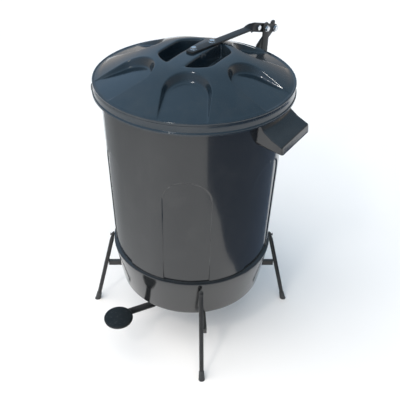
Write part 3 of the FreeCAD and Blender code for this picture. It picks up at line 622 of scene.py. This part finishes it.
def sink(surface, distance, floor, slope, lip, root):
    """Pocket in a surface: walls of one slope inside an outline, rounded at lip and root."""
    inside = (np.sqrt(distance ** 2 + lip ** 2) - distance) / 2
    wall = surface - slope * inside
    pocket = (wall + floor + np.sqrt((wall - floor) ** 2 + root ** 2)) / 2
    return np.minimum(surface, pocket)


def smooth_curve(xs, ys, x):
    """Monotone cubic through knots."""
    slope = np.diff(ys) / np.diff(xs)
    tangent = np.concatenate([[0.0], (slope[:-1] + slope[1:]) / 2, [slope[-1]]])
    i = np.clip(np.searchsorted(xs, x) - 1, 0, len(xs) - 2)
    width = xs[i + 1] - xs[i]
    t = np.clip((x - xs[i]) / width, 0, 1)
    h00 = 2 * t ** 3 - 3 * t ** 2 + 1
    h10 = t ** 3 - 2 * t ** 2 + t
    h01 = -2 * t ** 3 + 3 * t ** 2
    h11 = t ** 3 - t ** 2
    return h00 * ys[i] + h10 * width * tangent[i] + h01 * ys[i + 1] + h11 * width * tangent[i + 1]


def make_lid():
    """Domed lid with bead and skirt, and the height of its bead."""
    low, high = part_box("lid_shell")
    lip_z, crown = low.z, high.z
    bead_z = lip_z + 0.032
    lip_r = high.x
    skirt = lip_r - 0.003
    path = [
        (0.2500, bead_z - 0.001), (0.2570, bead_z - 0.0016), (0.2605, bead_z), (0.2630, bead_z - 0.001),
        (0.2632, bead_z - 0.0065), (skirt - 0.0010, bead_z - 0.009), (skirt, lip_z + 0.0075),
        (lip_r, lip_z + 0.0055), (lip_r, lip_z), (lip_r - 0.0060, lip_z), (lip_r - 0.0066, bead_z - 0.0032),
        (0.2490, bead_z - 0.0036),
    ]
    radii = [0, 0.003, 0.0025, 0.0022, 0.0018, 0.0016, 0.0012, 0.0022, 0.0014, 0.001, 0.003, 0]
    rim = arc_corner(path, radii, 0.0007)[1:]
    cols = 1080
    az = np.arange(cols) * 360.0 / cols
    rad = np.radians(az)

    def ring(r, z):
        r = np.full(cols, r)
        return np.stack([r * np.sin(rad), -r * np.cos(rad), z], 1)

    def dome(r, grow=0.0, drop=0.0):
        return ring(r, lid_height(az, np.full(cols, r), bead_z, crown, grow, drop))

    rows = [dome(r) for r in np.concatenate([np.arange(0.002, 0.03, 0.004), np.arange(0.03, 0.256, 0.0013)])]
    rows += [ring(p.x, np.full(cols, p.y)) for p in rim if p.x > 0.2562]
    rows += [dome(r, 0.0030, 0.0032) for r in np.arange(0.248, 0.03, -0.003)]
    form = (np.concatenate(rows), capped_grid(len(rows), cols))
    new_object("lid_dome", form, "lid", ["lid_shell"], "lid_plastic", 55)
    return bead_z


def make_seat_rib(bead_z):
    """Rib under the lid that stands on the bin's rim."""
    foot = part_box("bin_body")[1].z + 0.0005
    profile = [(0.2426, bead_z - 0.0035), (0.2426, foot + 0.0008), (0.2434, foot), (0.2456, foot),
               (0.2464, foot + 0.0008), (0.2464, bead_z - 0.0035)]
    verts, faces = lathe(profile, (0, 0, 0), UP, 180)
    new_object("lid_seat_rib", (verts, faces[:-2]), "lid", (), "lid_plastic", 50)


# ---------------------------------------------------------------- hand holds
def make_handle(name, node):
    """Open-bottomed hood: a sheet over the crest and front that turns down into two gussets."""
    low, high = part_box(node)
    middle = (low + high) / 2
    out = Vector((middle.x, middle.y, 0)).normalized()
    side = Vector((-out.y, out.x, 0))
    corners = [v.co for v in frame["nodes"][node].data.vertices]
    tip = max(c.dot(out) for c in corners)
    half = max(c.dot(side) for c in corners)
    top_z, bottom = high.z, low.z
    root = 0.2408
    crest = arc_corner(
        [(root, top_z), (0.2470, top_z), (0.2560, top_z - 0.018), (0.2750, top_z - 0.033),
         (tip - 0.003, top_z - 0.046), (tip, bottom)],
        [0, 0.004, 0.012, 0.03, 0.006, 0], 0.001)
    crest = thin_out(crest, 0.004)
    foot_a, foot_b = Vector((root, bottom + 0.010)), Vector((tip, bottom))
    span, corner, plan = tip - root, 0.0045, 0.006
    rows = []
    for i, p in enumerate(crest):
        base = foot_a.lerp(foot_b, i / (len(crest) - 1))
        down = base - p
        length = max(down.length, 0.00001)
        down = down / length if length > 0.0001 else Vector((0, -1))
        c = min(corner, length * 0.9)
        left = [(-half, base.lerp(p + down * c, k / 8)) for k in range(8)]
        for k in range(7):
            a = math.pi / 2 * k / 6
            left.append((-half + c - c * math.cos(a), p + down * (c - c * math.sin(a))))
        across = [(-half + c + (2 * half - 2 * c) * k / 24, p) for k in range(1, 24)]
        row = left + across + [(-v, q) for v, q in left[::-1]]
        rows.append(row)
    verts = []
    for row in rows:
        for v, q in row:
            near = max(0.0, q.x - (tip - plan))
            v *= 1 - (plan - math.sqrt(max(0.0, plan ** 2 - near ** 2))) / half
            hug = ((tip - q.x) / span) ** 1.3 if q.x < tip else 0.0
            u = q.x - (root - math.sqrt(root ** 2 - v ** 2)) * hug
            verts.append(out * u + side * v + Vector((0, 0, q.y)))
    faces = grid_faces(len(rows), len(rows[0]), False)
    handle = new_object(name, (verts, faces), "stand", [node], "bin_plastic", 50)
    mesh = handle.data
    facing = sum(p.area * (p.normal.dot(out) + p.normal.z) for p in mesh.polygons)
    if facing < 0:
        mesh.flip_normals()
    shell = handle.modifiers.new("wall", "SOLIDIFY")
    shell.thickness = 0.0028
    shell.offset = -1


# ---------------------------------------------------------------- stand
LEGS = ("leg_front_right", "leg_front_left", "leg_rear_right", "leg_rear_left")


def leg_axis(node):
    """Foot and top of a leg's axis from its box."""
    low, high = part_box(node)
    sx = 1 if low.x + high.x > 0 else -1
    sy = 1 if low.y + high.y > 0 else -1
    xs, ys = sorted((abs(low.x), abs(high.x))), sorted((abs(low.y), abs(high.y)))
    inset, trim = 0.0064, 0.0016
    foot = Vector(((xs[1] - inset) * sx, (ys[1] - inset) * sy, low.z + trim))
    return foot, Vector(((xs[0] + inset) * sx, (ys[0] + inset) * sy, high.z - trim))


def make_leg(node):
    """Round leg, pressed a little flat and rounded over at its top."""
    foot, top = leg_axis(node)
    way = (top - foot).normalized()
    out = Vector((foot.x, foot.y, 0)).normalized()
    side = way.cross(out).normalized()
    front = side.cross(way).normalized()
    length = (top - foot).length
    cols, steps = 36, 40
    verts = []
    for i in range(steps + 1):
        along = i / steps * length
        flat = smooth_np(length - 0.034, length - 0.016, along)
        end = math.sqrt(max(0.0, 1 - max(0.0, (along - (length - 0.0065)) / 0.0066) ** 2))
        wide = LEG_R * max(end, 0.12)
        deep = LEG_R * (1 - 0.3 * flat) * max(end, 0.12)
        for k in range(cols):
            a = TAU * k / cols
            verts.append(foot + way * along + side * (math.cos(a) * wide) + front * (math.sin(a) * deep))
    new_object("tube_" + node, (verts, capped_grid(steps + 1, cols)), "stand", [node], smooth=45)


def smooth_np(a, b, x):
    return float(smooth_step(a, b, np.array([x]))[0])


def make_feet():
    """Ribbed rubber ferrules on the four legs."""
    parts = []
    length, steps = 0.036, 45
    profile = []
    for k in range(steps + 1):
        h = length * k / steps
        r = 0.0095 - 0.0018 * k / steps
        rib = 0.0005 if 0.010 < h < 0.030 and int(h / 0.0022) % 2 else 0.0
        if h > length - 0.002:
            r -= (h - length + 0.002) * 0.6
        profile.append((r - rib, h))
    profile.append((0.0066, length))
    for node in LEGS:
        foot, top = leg_axis(node)
        way = (top - foot).normalized()
        v, f = lathe(profile, foot - way * 0.0105, way, 40)
        parts.append(([Vector((p.x, p.y, max(p.z, 0.0))) for p in v], f))
    new_object("foot_ferrules", join_parts(parts), "stand", ["foot_caps"], "foot_rubber", 40)


def pan_head(centre, way, height=SCREW_HEAD_T, shank=0.004):
    """Domed screw head with a stub of shank."""
    r, rim = SCREW_HEAD_R, 0.0007
    profile = [(SCREW_R, -shank), (SCREW_R, 0), (r, 0.0001), (r, rim)]
    for k in range(1, 9):
        a = math.pi / 2 * k / 8
        profile.append((r * math.cos(a) * 0.999 + 0.0003 * (k == 8), rim + (height - rim) * math.sin(a)))
    return lathe(profile, centre, way, 28)


def make_leg_screws():
    """Screw through each leg and the bin's wall, with its nut inside."""
    parts, nuts = [], []
    low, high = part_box("leg_screws")
    z = (low.z + high.z) / 2
    for node in LEGS:
        foot, top = leg_axis(node)
        at = foot.lerp(top, (z - foot.z) / (top.z - foot.z))
        out = Vector((at.x, at.y, 0)).normalized()
        head = out * (Vector((at.x, at.y, 0)).length + 0.0071)
        parts.append(pan_head((head.x, head.y, z), out, 0.0017))
        nut = out * 0.2285
        nuts.append(hexagon((nut.x, nut.y, z), -out, 0.0042, 0.0026, across=0.0085))
    new_object("leg_screw_heads", join_parts(parts), "stand", ["leg_screws"])
    new_object("leg_screw_nuts", join_parts(nuts), "stand", ["leg_nuts"], "zinc_steel")


def make_welds():
    """Weld beads where the cross bars meet the legs, and on the lever."""
    parts = []
    bar_low, bar_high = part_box("cross_bar_a")
    for node in LEGS:
        foot, top = leg_axis(node)
        a = foot.lerp(top, (bar_low.z - foot.z) / (top.z - foot.z))
        b = foot.lerp(top, (bar_high.z - foot.z) / (top.z - foot.z))
        out = Vector((a.x, a.y, 0)).normalized()
        turn = 1 if (a.x > 0) == node.startswith("leg_front") else -1
        shift = Vector((-out.y, out.x, 0)) * turn * 0.0046 + out * -0.0052
        parts.append(weld_bead([a + shift, b + shift], 0.0019))
    new_object("weld_beads_legs", join_parts(parts), "stand", smooth=60)
    low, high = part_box("lever_sleeve")
    y = (low.y + high.y) / 2
    z = high.z - 0.0018
    parts = [weld_bead([(-0.0115, y + s, z), (0.0115, y + s, z)], 0.0015) for s in (-0.0042, 0.0042)]
    low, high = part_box("lever_fork")
    z = low.z + 0.0005
    for x in (low.x - 0.0004, high.x - 0.0001):
        if abs(x) < BAR_W / 2:
            parts.append(weld_bead([(x, low.y + 0.002, z), (x, high.y - 0.002, z)], 0.0014))
    new_object("weld_beads_lever", join_parts(parts), "lever", smooth=60)


# ---------------------------------------------------------------- linkage bars
PIVOTS = {j["name"]: Vector(j["pos_m"]) for j in frame["record"]["behaviour"]["joints"]}
HINGE, ROD_TOP = PIVOTS["lid_open"], PIVOTS["rod_swing"]
PIVOT_WAY = Vector((0, HINGE.y - ROD_TOP.y, HINGE.z - ROD_TOP.z)).normalized()
PIVOT_UP = Vector((0, -PIVOT_WAY.z, PIVOT_WAY.y))


def on_pivot_line(y):
    """Height of the line from the rod's pivot to the hinge."""
    return ROD_TOP.z + (y - ROD_TOP.y) * PIVOT_WAY.z / PIVOT_WAY.y


def make_arm():
    """Bar that lies flat on the lid, then turns on edge toward the rod's pivot."""
    front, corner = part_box("lid_arm")[0].y, 0.0085
    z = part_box("arm_washers")[1].z - WASHER_T - BAR_T / 2
    start, end = 0.203, 0.236
    lean = math.atan2(PIVOT_WAY.z, PIVOT_WAY.y)
    stations = []
    nose = front + corner * (1 - np.cos(np.linspace(0, math.pi / 2, 8)))
    for y in np.concatenate([nose, np.linspace(front + 0.02, start, 12)]):
        inset = max(0.0, front + corner - y)
        squeeze = 1 - (corner - math.sqrt(max(0, corner ** 2 - inset ** 2))) / (BAR_W / 2)
        stations.append((Vector((0, y, z)), Vector((squeeze, 0, 0)), UP))
    for k in range(1, 25):
        share = smooth_np(0, 1, k / 24)
        y = start + (end - start) * k / 24
        height = z + (on_pivot_line(end) - z) * share
        a = math.radians(-90) * share
        tilt = lean * share
        up = Vector((0, -math.sin(tilt), math.cos(tilt)))
        u = Vector((math.cos(a), 0, 0)) + up * math.sin(a)
        w = Vector((-math.sin(a), 0, 0)) + up * math.cos(a)
        stations.append((Vector((0, y, height)), u, w))
    across = Vector((1, 0, 0))
    for y in np.linspace(end + 0.004, ROD_TOP.y, 8):
        stations.append((Vector((0, y, on_pivot_line(y))), -PIVOT_UP, across))
    for k in range(1, 10):
        a = math.pi / 2 * k / 9
        tip = ROD_TOP + PIVOT_WAY * (BAR_W / 2 * math.sin(a))
        stations.append((tip, -PIVOT_UP * max(math.cos(a), 0.08), across))
    new_object("arm_bar", bar_sweep(stations), "lid", ["lid_arm"], smooth=40)


def make_link():
    """Short bar from the arm to the hinge bolt."""
    low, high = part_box("hinge_link")
    half, round_r = 0.01095, 0.0109
    start = 0.238
    a = Vector((start, on_pivot_line(start)))
    b = Vector((HINGE.y, HINGE.z))
    way = (b - a).normalized()
    up = Vector((-way.y, way.x))
    outline = [a - up * half, b - up * half + way * half, b + up * half + way * half, a + up * half]
    form = plate_x(outline, [0.002, round_r, round_r, 0.002], low.x, high.x)
    new_object("link_bar", form, "lid", ["hinge_link"], smooth=40)


def make_rod():
    """Long flat push rod with the loose eye at its foot."""
    low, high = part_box("push_rod")
    y0, y1 = low.y, high.y
    mid = (y0 + y1) / 2
    shoulder = ROD_TOP.z + 0.006
    outline = [(y0, low.z), (y1, low.z), (y1, shoulder),
               (mid + 0.004, high.z), (mid - 0.004, high.z), (y0, shoulder)]
    radii = [0.005, 0.005, 0.005, 0.004, 0.004, 0.005]
    eye = (0.2836, low.z + 0.0135, 0.0077)
    form = plate_x([Vector(p) for p in outline], radii, low.x, high.x, [eye])
    new_object("rod_bar", form, "rod", ["push_rod"], smooth=40)


def make_post():
    """Upright flat bar that cranks back to the hinge at its knee."""
    low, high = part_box("hinge_post")
    half = BAR_W / 2
    y0, y1 = ROD_TOP.y - half, ROD_TOP.y + half
    knee = 0.826
    out_y, out_z = HINGE.y - ROD_TOP.y, HINGE.z - knee
    length = math.hypot(out_y, out_z)
    ny, nz = -out_z / length * half, out_y / length * half
    outline = [(y0, low.z), (y1, low.z), (y1, knee - 0.003), (HINGE.y - ny + 0.003, HINGE.z - nz + 0.003),
               (HINGE.y + 0.008, high.z), (HINGE.y - 0.006, high.z),
               (HINGE.y + ny - 0.003, HINGE.z + nz - 0.002), (y0, knee + 0.005)]
    radii = [0.003, 0.003, 0.012, 0.008, 0.005, 0.005, 0.006, 0.012]
    form = plate_x([Vector(p) for p in outline], radii, low.x, high.x)
    new_object("post_bar", form, "stand", ["hinge_post"], smooth=40)


def make_lever():
    """Flat bar that is cranked up to the pedal."""
    low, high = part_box("pedal_lever")
    flat_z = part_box("lever_sleeve")[1].z + BAR_T / 2
    top_z = high.z - BAR_T / 2
    path = [(high.y, flat_z), (-0.175, flat_z), (-0.268, top_z), (low.y, top_z)]
    line = thin_out(arc_corner(path, [0, 0.0195, 0.0165, 0], 0.002), 0.02)
    stations = []
    for i, p in enumerate(line):
        q = line[min(i + 1, len(line) - 1)] - line[max(i - 1, 0)]
        q.normalize()
        up = Vector((0, q.y, -q.x)) if q.x < 0 else Vector((0, -q.y, q.x))
        stations.append((Vector((0, p.x, p.y)), Vector((1, 0, 0)), up))
    new_object("lever_bar", bar_sweep(stations), "lever", ["pedal_lever"], smooth=40)


def make_pedal():
    """Round rubber pad with two fine grooves."""
    low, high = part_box("pedal_pad")
    centre = (low + high) / 2
    r = (high.x - low.x) / 2
    h = high.z - low.z
    edge = 0.0036
    profile = [(r - 0.0024, 0.0), (r - 0.0006, 0.0006), (r, 0.0022), (r, h - 0.0042)]
    for k in range(1, 9):
        a = math.pi / 2 * k / 8
        profile.append((r - edge + edge * math.cos(a), h - 0.0042 + edge * math.sin(a)))
    for k in range(1, 40):
        s = (r - edge) * (1 - k / 40)
        groove = sum(0.00035 * math.exp(-((s - at) / 0.0006) ** 2) for at in (0.033, 0.027))
        profile.append((s, h - 0.0006 - groove + 0.0006 * (1 - (s / r) ** 2)))
    form = lathe(profile, (centre.x, centre.y, low.z), UP, 96)
    new_object("pedal_cover", form, "lever", ["pedal_pad"], "pad_rubber", 40)


# ---------------------------------------------------------------- fasteners
def bolt_form(seat, way, grip, length, turn, cols=32):
    """Hex bolt whose head sits on a seat: plain for its grip, then threaded for a length."""
    seat, way = Vector(seat), Vector(way)
    plain_end = seat - way * grip
    return join_parts([
        hexagon(seat, way, HEAD_T, turn=turn, both=False),
        lathe([(BOLT_R, 0), (BOLT_R, grip)], plain_end, way, cols),
        threaded(plain_end, -way, length),
    ])


def zinc(name, parts, body, node):
    new_object(name, join_parts(parts), body, [node], "zinc_steel", 30)


def make_cross_bolt(name, body, bolt, nut, turn):
    """Bolt and nut along X, from the boxes of their CAD nodes."""
    low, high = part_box(bolt)
    y, z = (low.y + high.y) / 2, (low.z + high.z) / 2
    seat, nut_x = high.x - HEAD_T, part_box(nut)[1].x
    zinc(name + "_bolt", [bolt_form((seat, y, z), (1, 0, 0), seat - nut_x, nut_x - low.x, turn)], body, bolt)
    zinc(name + "_nut", [hexagon((nut_x, y, z), (-1, 0, 0), NUT_T, BOLT_R, 0.45)], body, nut)


def make_fasteners():
    for name, body, bolt, turn in (("hinge_pivot", "stand", "hinge", 0.2),
                                   ("rod_pivot", "lid", "rod", 0.5),
                                   ("link_joint", "lid", "link", 0.1),
                                   ("lever_pivot", "stand", "pivot", 0.3)):
        make_cross_bolt(name, body, bolt + "_bolt", bolt + "_nut", turn)

    for node, body, first in (("hinge_washers", "stand", WASHER_T), ("rod_washers", "lid", 0.0017),
                              ("pivot_washers", "stand", WASHER_T)):
        low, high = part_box(node)
        y, z = (low.y + high.y) / 2, (low.z + high.z) / 2
        rings = [washer_ring((low.x, y, z), (1, 0, 0), first),
                 washer_ring((high.x, y, z), (-1, 0, 0), 0.0014)]
        zinc("round_" + node, rings, body, node)

    # bolts that stand upright through the lid arm
    low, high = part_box("arm_bolts")
    nut_low, nut_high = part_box("arm_nuts")
    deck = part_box("arm_washers")[1].z
    bolts, washers, nuts = [], [], []
    for turn, y, seat in ((0.15, low.y + TIP_TO_AXIS, nut_high.z),
                          (0.55, high.y - TIP_TO_AXIS, nut_low.z + NUT_T)):
        bolts.append(bolt_form((0, y, deck), UP, deck - seat, seat - low.z, turn))
        washers += [washer_ring((0, y, deck), -UP), washer_ring((0, y, seat), UP)]
        nuts.append(hexagon((0, y, seat), -UP, NUT_T, BOLT_R, 0.3))
    zinc("arm_hex_bolts", bolts, "lid", "arm_bolts")
    zinc("arm_round_washers", washers, "lid", "arm_washers")
    zinc("arm_hex_nuts", nuts, "lid", "arm_nuts")

    # post bolts along X at two heights
    low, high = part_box("post_bolts")
    nut_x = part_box("post_nuts")[1].x
    y, seat = (low.y + high.y) / 2, high.x - HEAD_T
    bolts, nuts = [], []
    for z, end in ((low.z + TIP_TO_AXIS, nut_x - 0.001), (high.z - TIP_TO_AXIS, nut_x)):
        bolts.append(bolt_form((seat, y, z), (1, 0, 0), seat - end, end - low.x - 0.0006, 0.35, 24))
        nuts.append(hexagon((end, y, z), (-1, 0, 0), 0.0062, BOLT_R, 0.2))
    zinc("post_hex_bolts", bolts, "stand", "post_bolts")
    zinc("post_hex_nuts", nuts, "stand", "post_nuts")

    # rail bolts, upright
    low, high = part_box("rail_bolts")
    x, end = (low.x + high.x) / 2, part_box("rail_nuts")[1].z
    bolts, nuts = [], []
    for y, seat in ((low.y + ACROSS / 2, high.z - HEAD_T),
                    (high.y - ACROSS / 2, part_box("rear_rail")[1].z + BAR_T)):
        bolts.append(bolt_form((x, y, seat), UP, seat - end, end - low.z, 0.3, 24))
        nuts.append(hexagon((x, y, end), -UP, NUT_T, BOLT_R, 0.1))
    zinc("rail_hex_bolts", bolts, "stand", "rail_bolts")
    zinc("rail_hex_nuts", nuts, "stand", "rail_nuts")

    # small screws
    low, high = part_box("stay_screws")
    y, z = high.y - SCREW_HEAD_T, (low.z + high.z) / 2
    screws = [pan_head((x, y, z), (0, 1, 0), shank=0.012)
              for x in (low.x + SCREW_HEAD_R, high.x - SCREW_HEAD_R)]
    zinc("stay_screw_heads", screws, "stand", "stay_screws")
    low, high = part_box("pedal_screws")
    screws = [pan_head((0, y, low.z + SCREW_HEAD_T), -UP, shank=0.009)
              for y in (low.y + SCREW_HEAD_R, high.y - SCREW_HEAD_R)]
    zinc("pedal_screw_heads", screws, "lever", "pedal_screws")


def dress_cad_nodes():
    """Softened edges and finishes on the CAD nodes that stay."""
    replaced = set()
    for obj in bpy.data.objects:
        replaced.update(obj.get("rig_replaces", []))
    slots = {s["node"]: s["material_slot"] for s in frame["record"]["subparts"]}
    for node, obj in frame["nodes"].items():
        if node in replaced:
            continue
        obj.data.materials.clear()
        obj.data.materials.append(FINISH[slots[node]])
        weld = obj.modifiers.new("weld", "WELD")
        weld.merge_threshold = 0.00001
        if slots[node] == "black_steel":
            soft = obj.modifiers.new("edge", "BEVEL")
            soft.width = 0.0006
            soft.segments = 2
            soft.limit_method = "ANGLE"
            soft.angle_limit = math.radians(40)
            soft.use_clamp_overlap = True


# ---------------------------------------------------------------- camera, light, floor
def make_camera():
    """Camera in front of the pedal side, turned about the bin's axis, looking down."""
    distance, height = 1.44486, 1.48347
    pitch, yaw, roll = 0.62995, 0.01548, 0.02552
    forward = Vector((math.sin(yaw) * math.cos(pitch), math.cos(yaw) * math.cos(pitch), -math.sin(pitch)))
    right = forward.cross(UP).normalized()
    up = right.cross(forward)
    right, up = (right * math.cos(roll) + up * math.sin(roll), up * math.cos(roll) - right * math.sin(roll))
    basis = Matrix((
        (right.x, up.x, -forward.x, 0),
        (right.y, up.y, -forward.y, -distance),
        (right.z, up.z, -forward.z, height),
        (0, 0, 0, 1),
    ))
    data = bpy.data.cameras.new("photo_camera")
    data.lens = 54.0
    data.sensor_width = 36.0
    data.clip_end = 40
    camera = placed("photo_camera", data)
    camera.matrix_world = Matrix.Rotation(math.radians(CAMERA_AZ), 4, "Z") @ basis
    bpy.context.scene.camera = camera
    bpy.context.scene.view_settings.view_transform = "Standard"


def make_key():
    """Small soft box that glints on the lid."""
    data = bpy.data.lights.new("key", "AREA")
    data.shape = "RECTANGLE"
    data.size = data.size_y = 0.26
    data.energy = 13
    data.color = (1.0, 0.97, 0.93)
    key = placed("key", data)
    key.location = polar(2.2, CAMERA_AZ - 28, 2.9)
    aim = Vector((0, 0, 0.7)) - key.location
    key.rotation_euler = aim.to_track_quat("-Z", "Y").to_euler()


def make_sun():
    """Broad soft light that fills the floor and leaves no glare of its own."""
    data = bpy.data.lights.new("sun", "SUN")
    data.energy = 2.9
    data.angle = math.radians(75)
    data.color = (1.0, 0.94, 0.86)
    sun = placed("sun", data)
    sun.rotation_euler = (-polar(1.0, CAMERA_AZ - 40.0, 1.3)).to_track_quat("-Z", "Y").to_euler()
    sun.visible_glossy = False


def make_world():
    """Even sky: bright at the horizon, blue-grey above, deeper toward the bin's shaded side."""
    world = bpy.data.worlds.new("studio")
    bpy.context.scene.world = world
    world.use_nodes = True
    tree = world.node_tree
    coords = add(tree, "ShaderNodeTexCoord").outputs["Generated"]
    split = add(tree, "ShaderNodeSeparateXYZ")
    tree.links.new(coords, split.inputs[0])
    open_side = ramp(tree, split.outputs["Z"], [
        (0.0, (0.66, 0.63, 0.6)), (0.12, (0.5, 0.54, 0.6)),
        (0.45, (0.46, 0.68, 0.94)), (1.0, (0.46, 0.66, 0.86))])
    deep_side = ramp(tree, split.outputs["Z"], [
        (0.0, (0.6, 0.57, 0.53)), (0.1, (0.36, 0.36, 0.37)),
        (0.4, (0.24, 0.35, 0.45)), (1.0, (0.36, 0.54, 0.72))])
    across = add(tree, "ShaderNodeVectorMath", operation="DOT_PRODUCT")
    tree.links.new(coords, across.inputs[0])
    turn = math.radians(CAMERA_AZ)
    across.inputs[1].default_value = (math.cos(turn), math.sin(turn), 0)
    side = remap(tree, across.outputs["Value"], 0, 1, -0.35, 0.45)
    sky = mix_colour(tree, side, open_side, deep_side)
    background = tree.nodes["Background"]
    tree.links.new(sky, background.inputs["Color"])
    background.inputs["Strength"].default_value = 0.92


def stage_mesh(name, verts, faces, material, hidden=()):
    """Mesh that is no part of the bin, unseen by the given kinds of ray."""
    mesh = bpy.data.meshes.new(name)
    mesh.from_pydata([tuple(v) for v in verts], [], faces)
    mesh.materials.append(material)
    obj = placed(name, mesh)
    for kind in hidden:
        setattr(obj, "visible_" + kind, False)
    return obj


def make_reflected_shade_card(name, turn, rings, stops):
    """Card on the ground beside the bin, unseen by the camera and seen only in the bin's gloss: painted
    shade for the bin to reflect, as it would reflect darker ground round it.
    """
    steps = 48
    verts = [polar(radius, first + (last - first) * k / steps, 0.0006)
             for radius, first, last in rings for k in range(steps + 1)]
    material, tree, shader = node_material(name)
    round_about = add(tree, "ShaderNodeTexGradient", gradient_type="RADIAL")
    tree.links.new(mapped(tree), round_about.inputs["Vector"])
    # painted shade: the ramp's tones run round the card from its first edge to its last
    tree.links.new(ramp(tree, round_about.outputs["Fac"], stops), shader.inputs["Base Color"])
    shader.inputs["Roughness"].default_value = 1.0
    shader.inputs["Specular IOR Level"].default_value = 0.0
    faces = grid_faces(len(rings), steps + 1, False)
    shade_card = stage_mesh(name, verts, faces, material, ("camera", "diffuse", "shadow", "transmission"))
    shade_card.rotation_euler.z = math.radians(turn)


def make_floor():
    size, z = 9.0, -0.0002
    verts = [(-size, -size, z), (size, -size, z), (size, size, z), (-size, size, z)]
    material, tree, shader = node_material("pale_floor")
    tone = ramp(tree, noise(tree, mapped(tree), 1.5, 3, 0.5),
                [(0.3, (0.92, 0.87, 0.83)), (0.7, (0.95, 0.9, 0.86))])
    tree.links.new(tone, shader.inputs["Base Color"])
    shader.inputs["Roughness"].default_value = 0.9
    shader.inputs["Specular IOR Level"].default_value = 0.1
    stage_mesh("floor", verts, [(0, 1, 2, 3)], material)


def make_backdrop():
    """Pale wall and ceiling round the floor, there for the camera alone."""
    radius, height = 8.8, 7.0
    verts, faces = lathe([(radius, 0.0), (radius, height)], (0, 0, -0.001), UP, 96)
    material, _, shader = node_material("pale_wall")
    shader.inputs["Base Color"].default_value = (0, 0, 0, 1)
    shader.inputs["Specular IOR Level"].default_value = 0.0
    shader.inputs["Emission Color"].default_value = (1, 1, 1, 1)
    shader.inputs["Emission Strength"].default_value = 0.98
    walls = faces[:-2] + faces[-1:]
    stage_mesh("backdrop", verts, walls, material, ("diffuse", "glossy", "transmission", "shadow"))


make_barrel()
make_seat_rib(make_lid())
make_handle("hand_hold_right", "handle_right")
make_handle("hand_hold_left", "handle_left")
for leg in LEGS:
    make_leg(leg)
make_feet()
make_leg_screws()
make_welds()
make_arm()
make_link()
make_rod()
make_post()
make_lever()
make_pedal()
make_fasteners()
dress_cad_nodes()
make_camera()
make_world()
make_floor()
make_backdrop()
# painted reflected shade: dark blue-grey card on the ground to the right, which darkens the bin's right side
# in its gloss
make_reflected_shade_card("shade_right", CAMERA_AZ + 15.0,
                 ((0.42, 51, 101), (0.56, 39, 105), (0.66, 27, 109), (0.84, 19, 111),
                  (0.95, 12, 111), (1.05, 2, 111), (1.9, 0, 111)),
                 [(0.25, (0.14, 0.175, 0.24)), (0.56, (0.13, 0.16, 0.21))])
# painted reflected shade: grey card on the left that fades to the floor's tone
make_reflected_shade_card("shade_left", CAMERA_AZ - 142.0, ((0.45, 0, 92), (1.9, 0, 92)),
                 [(0.25, (0.36, 0.35, 0.34)), (0.36, (0.46, 0.44, 0.42)), (0.5, (0.94, 0.89, 0.85))])
make_sun()
make_key()
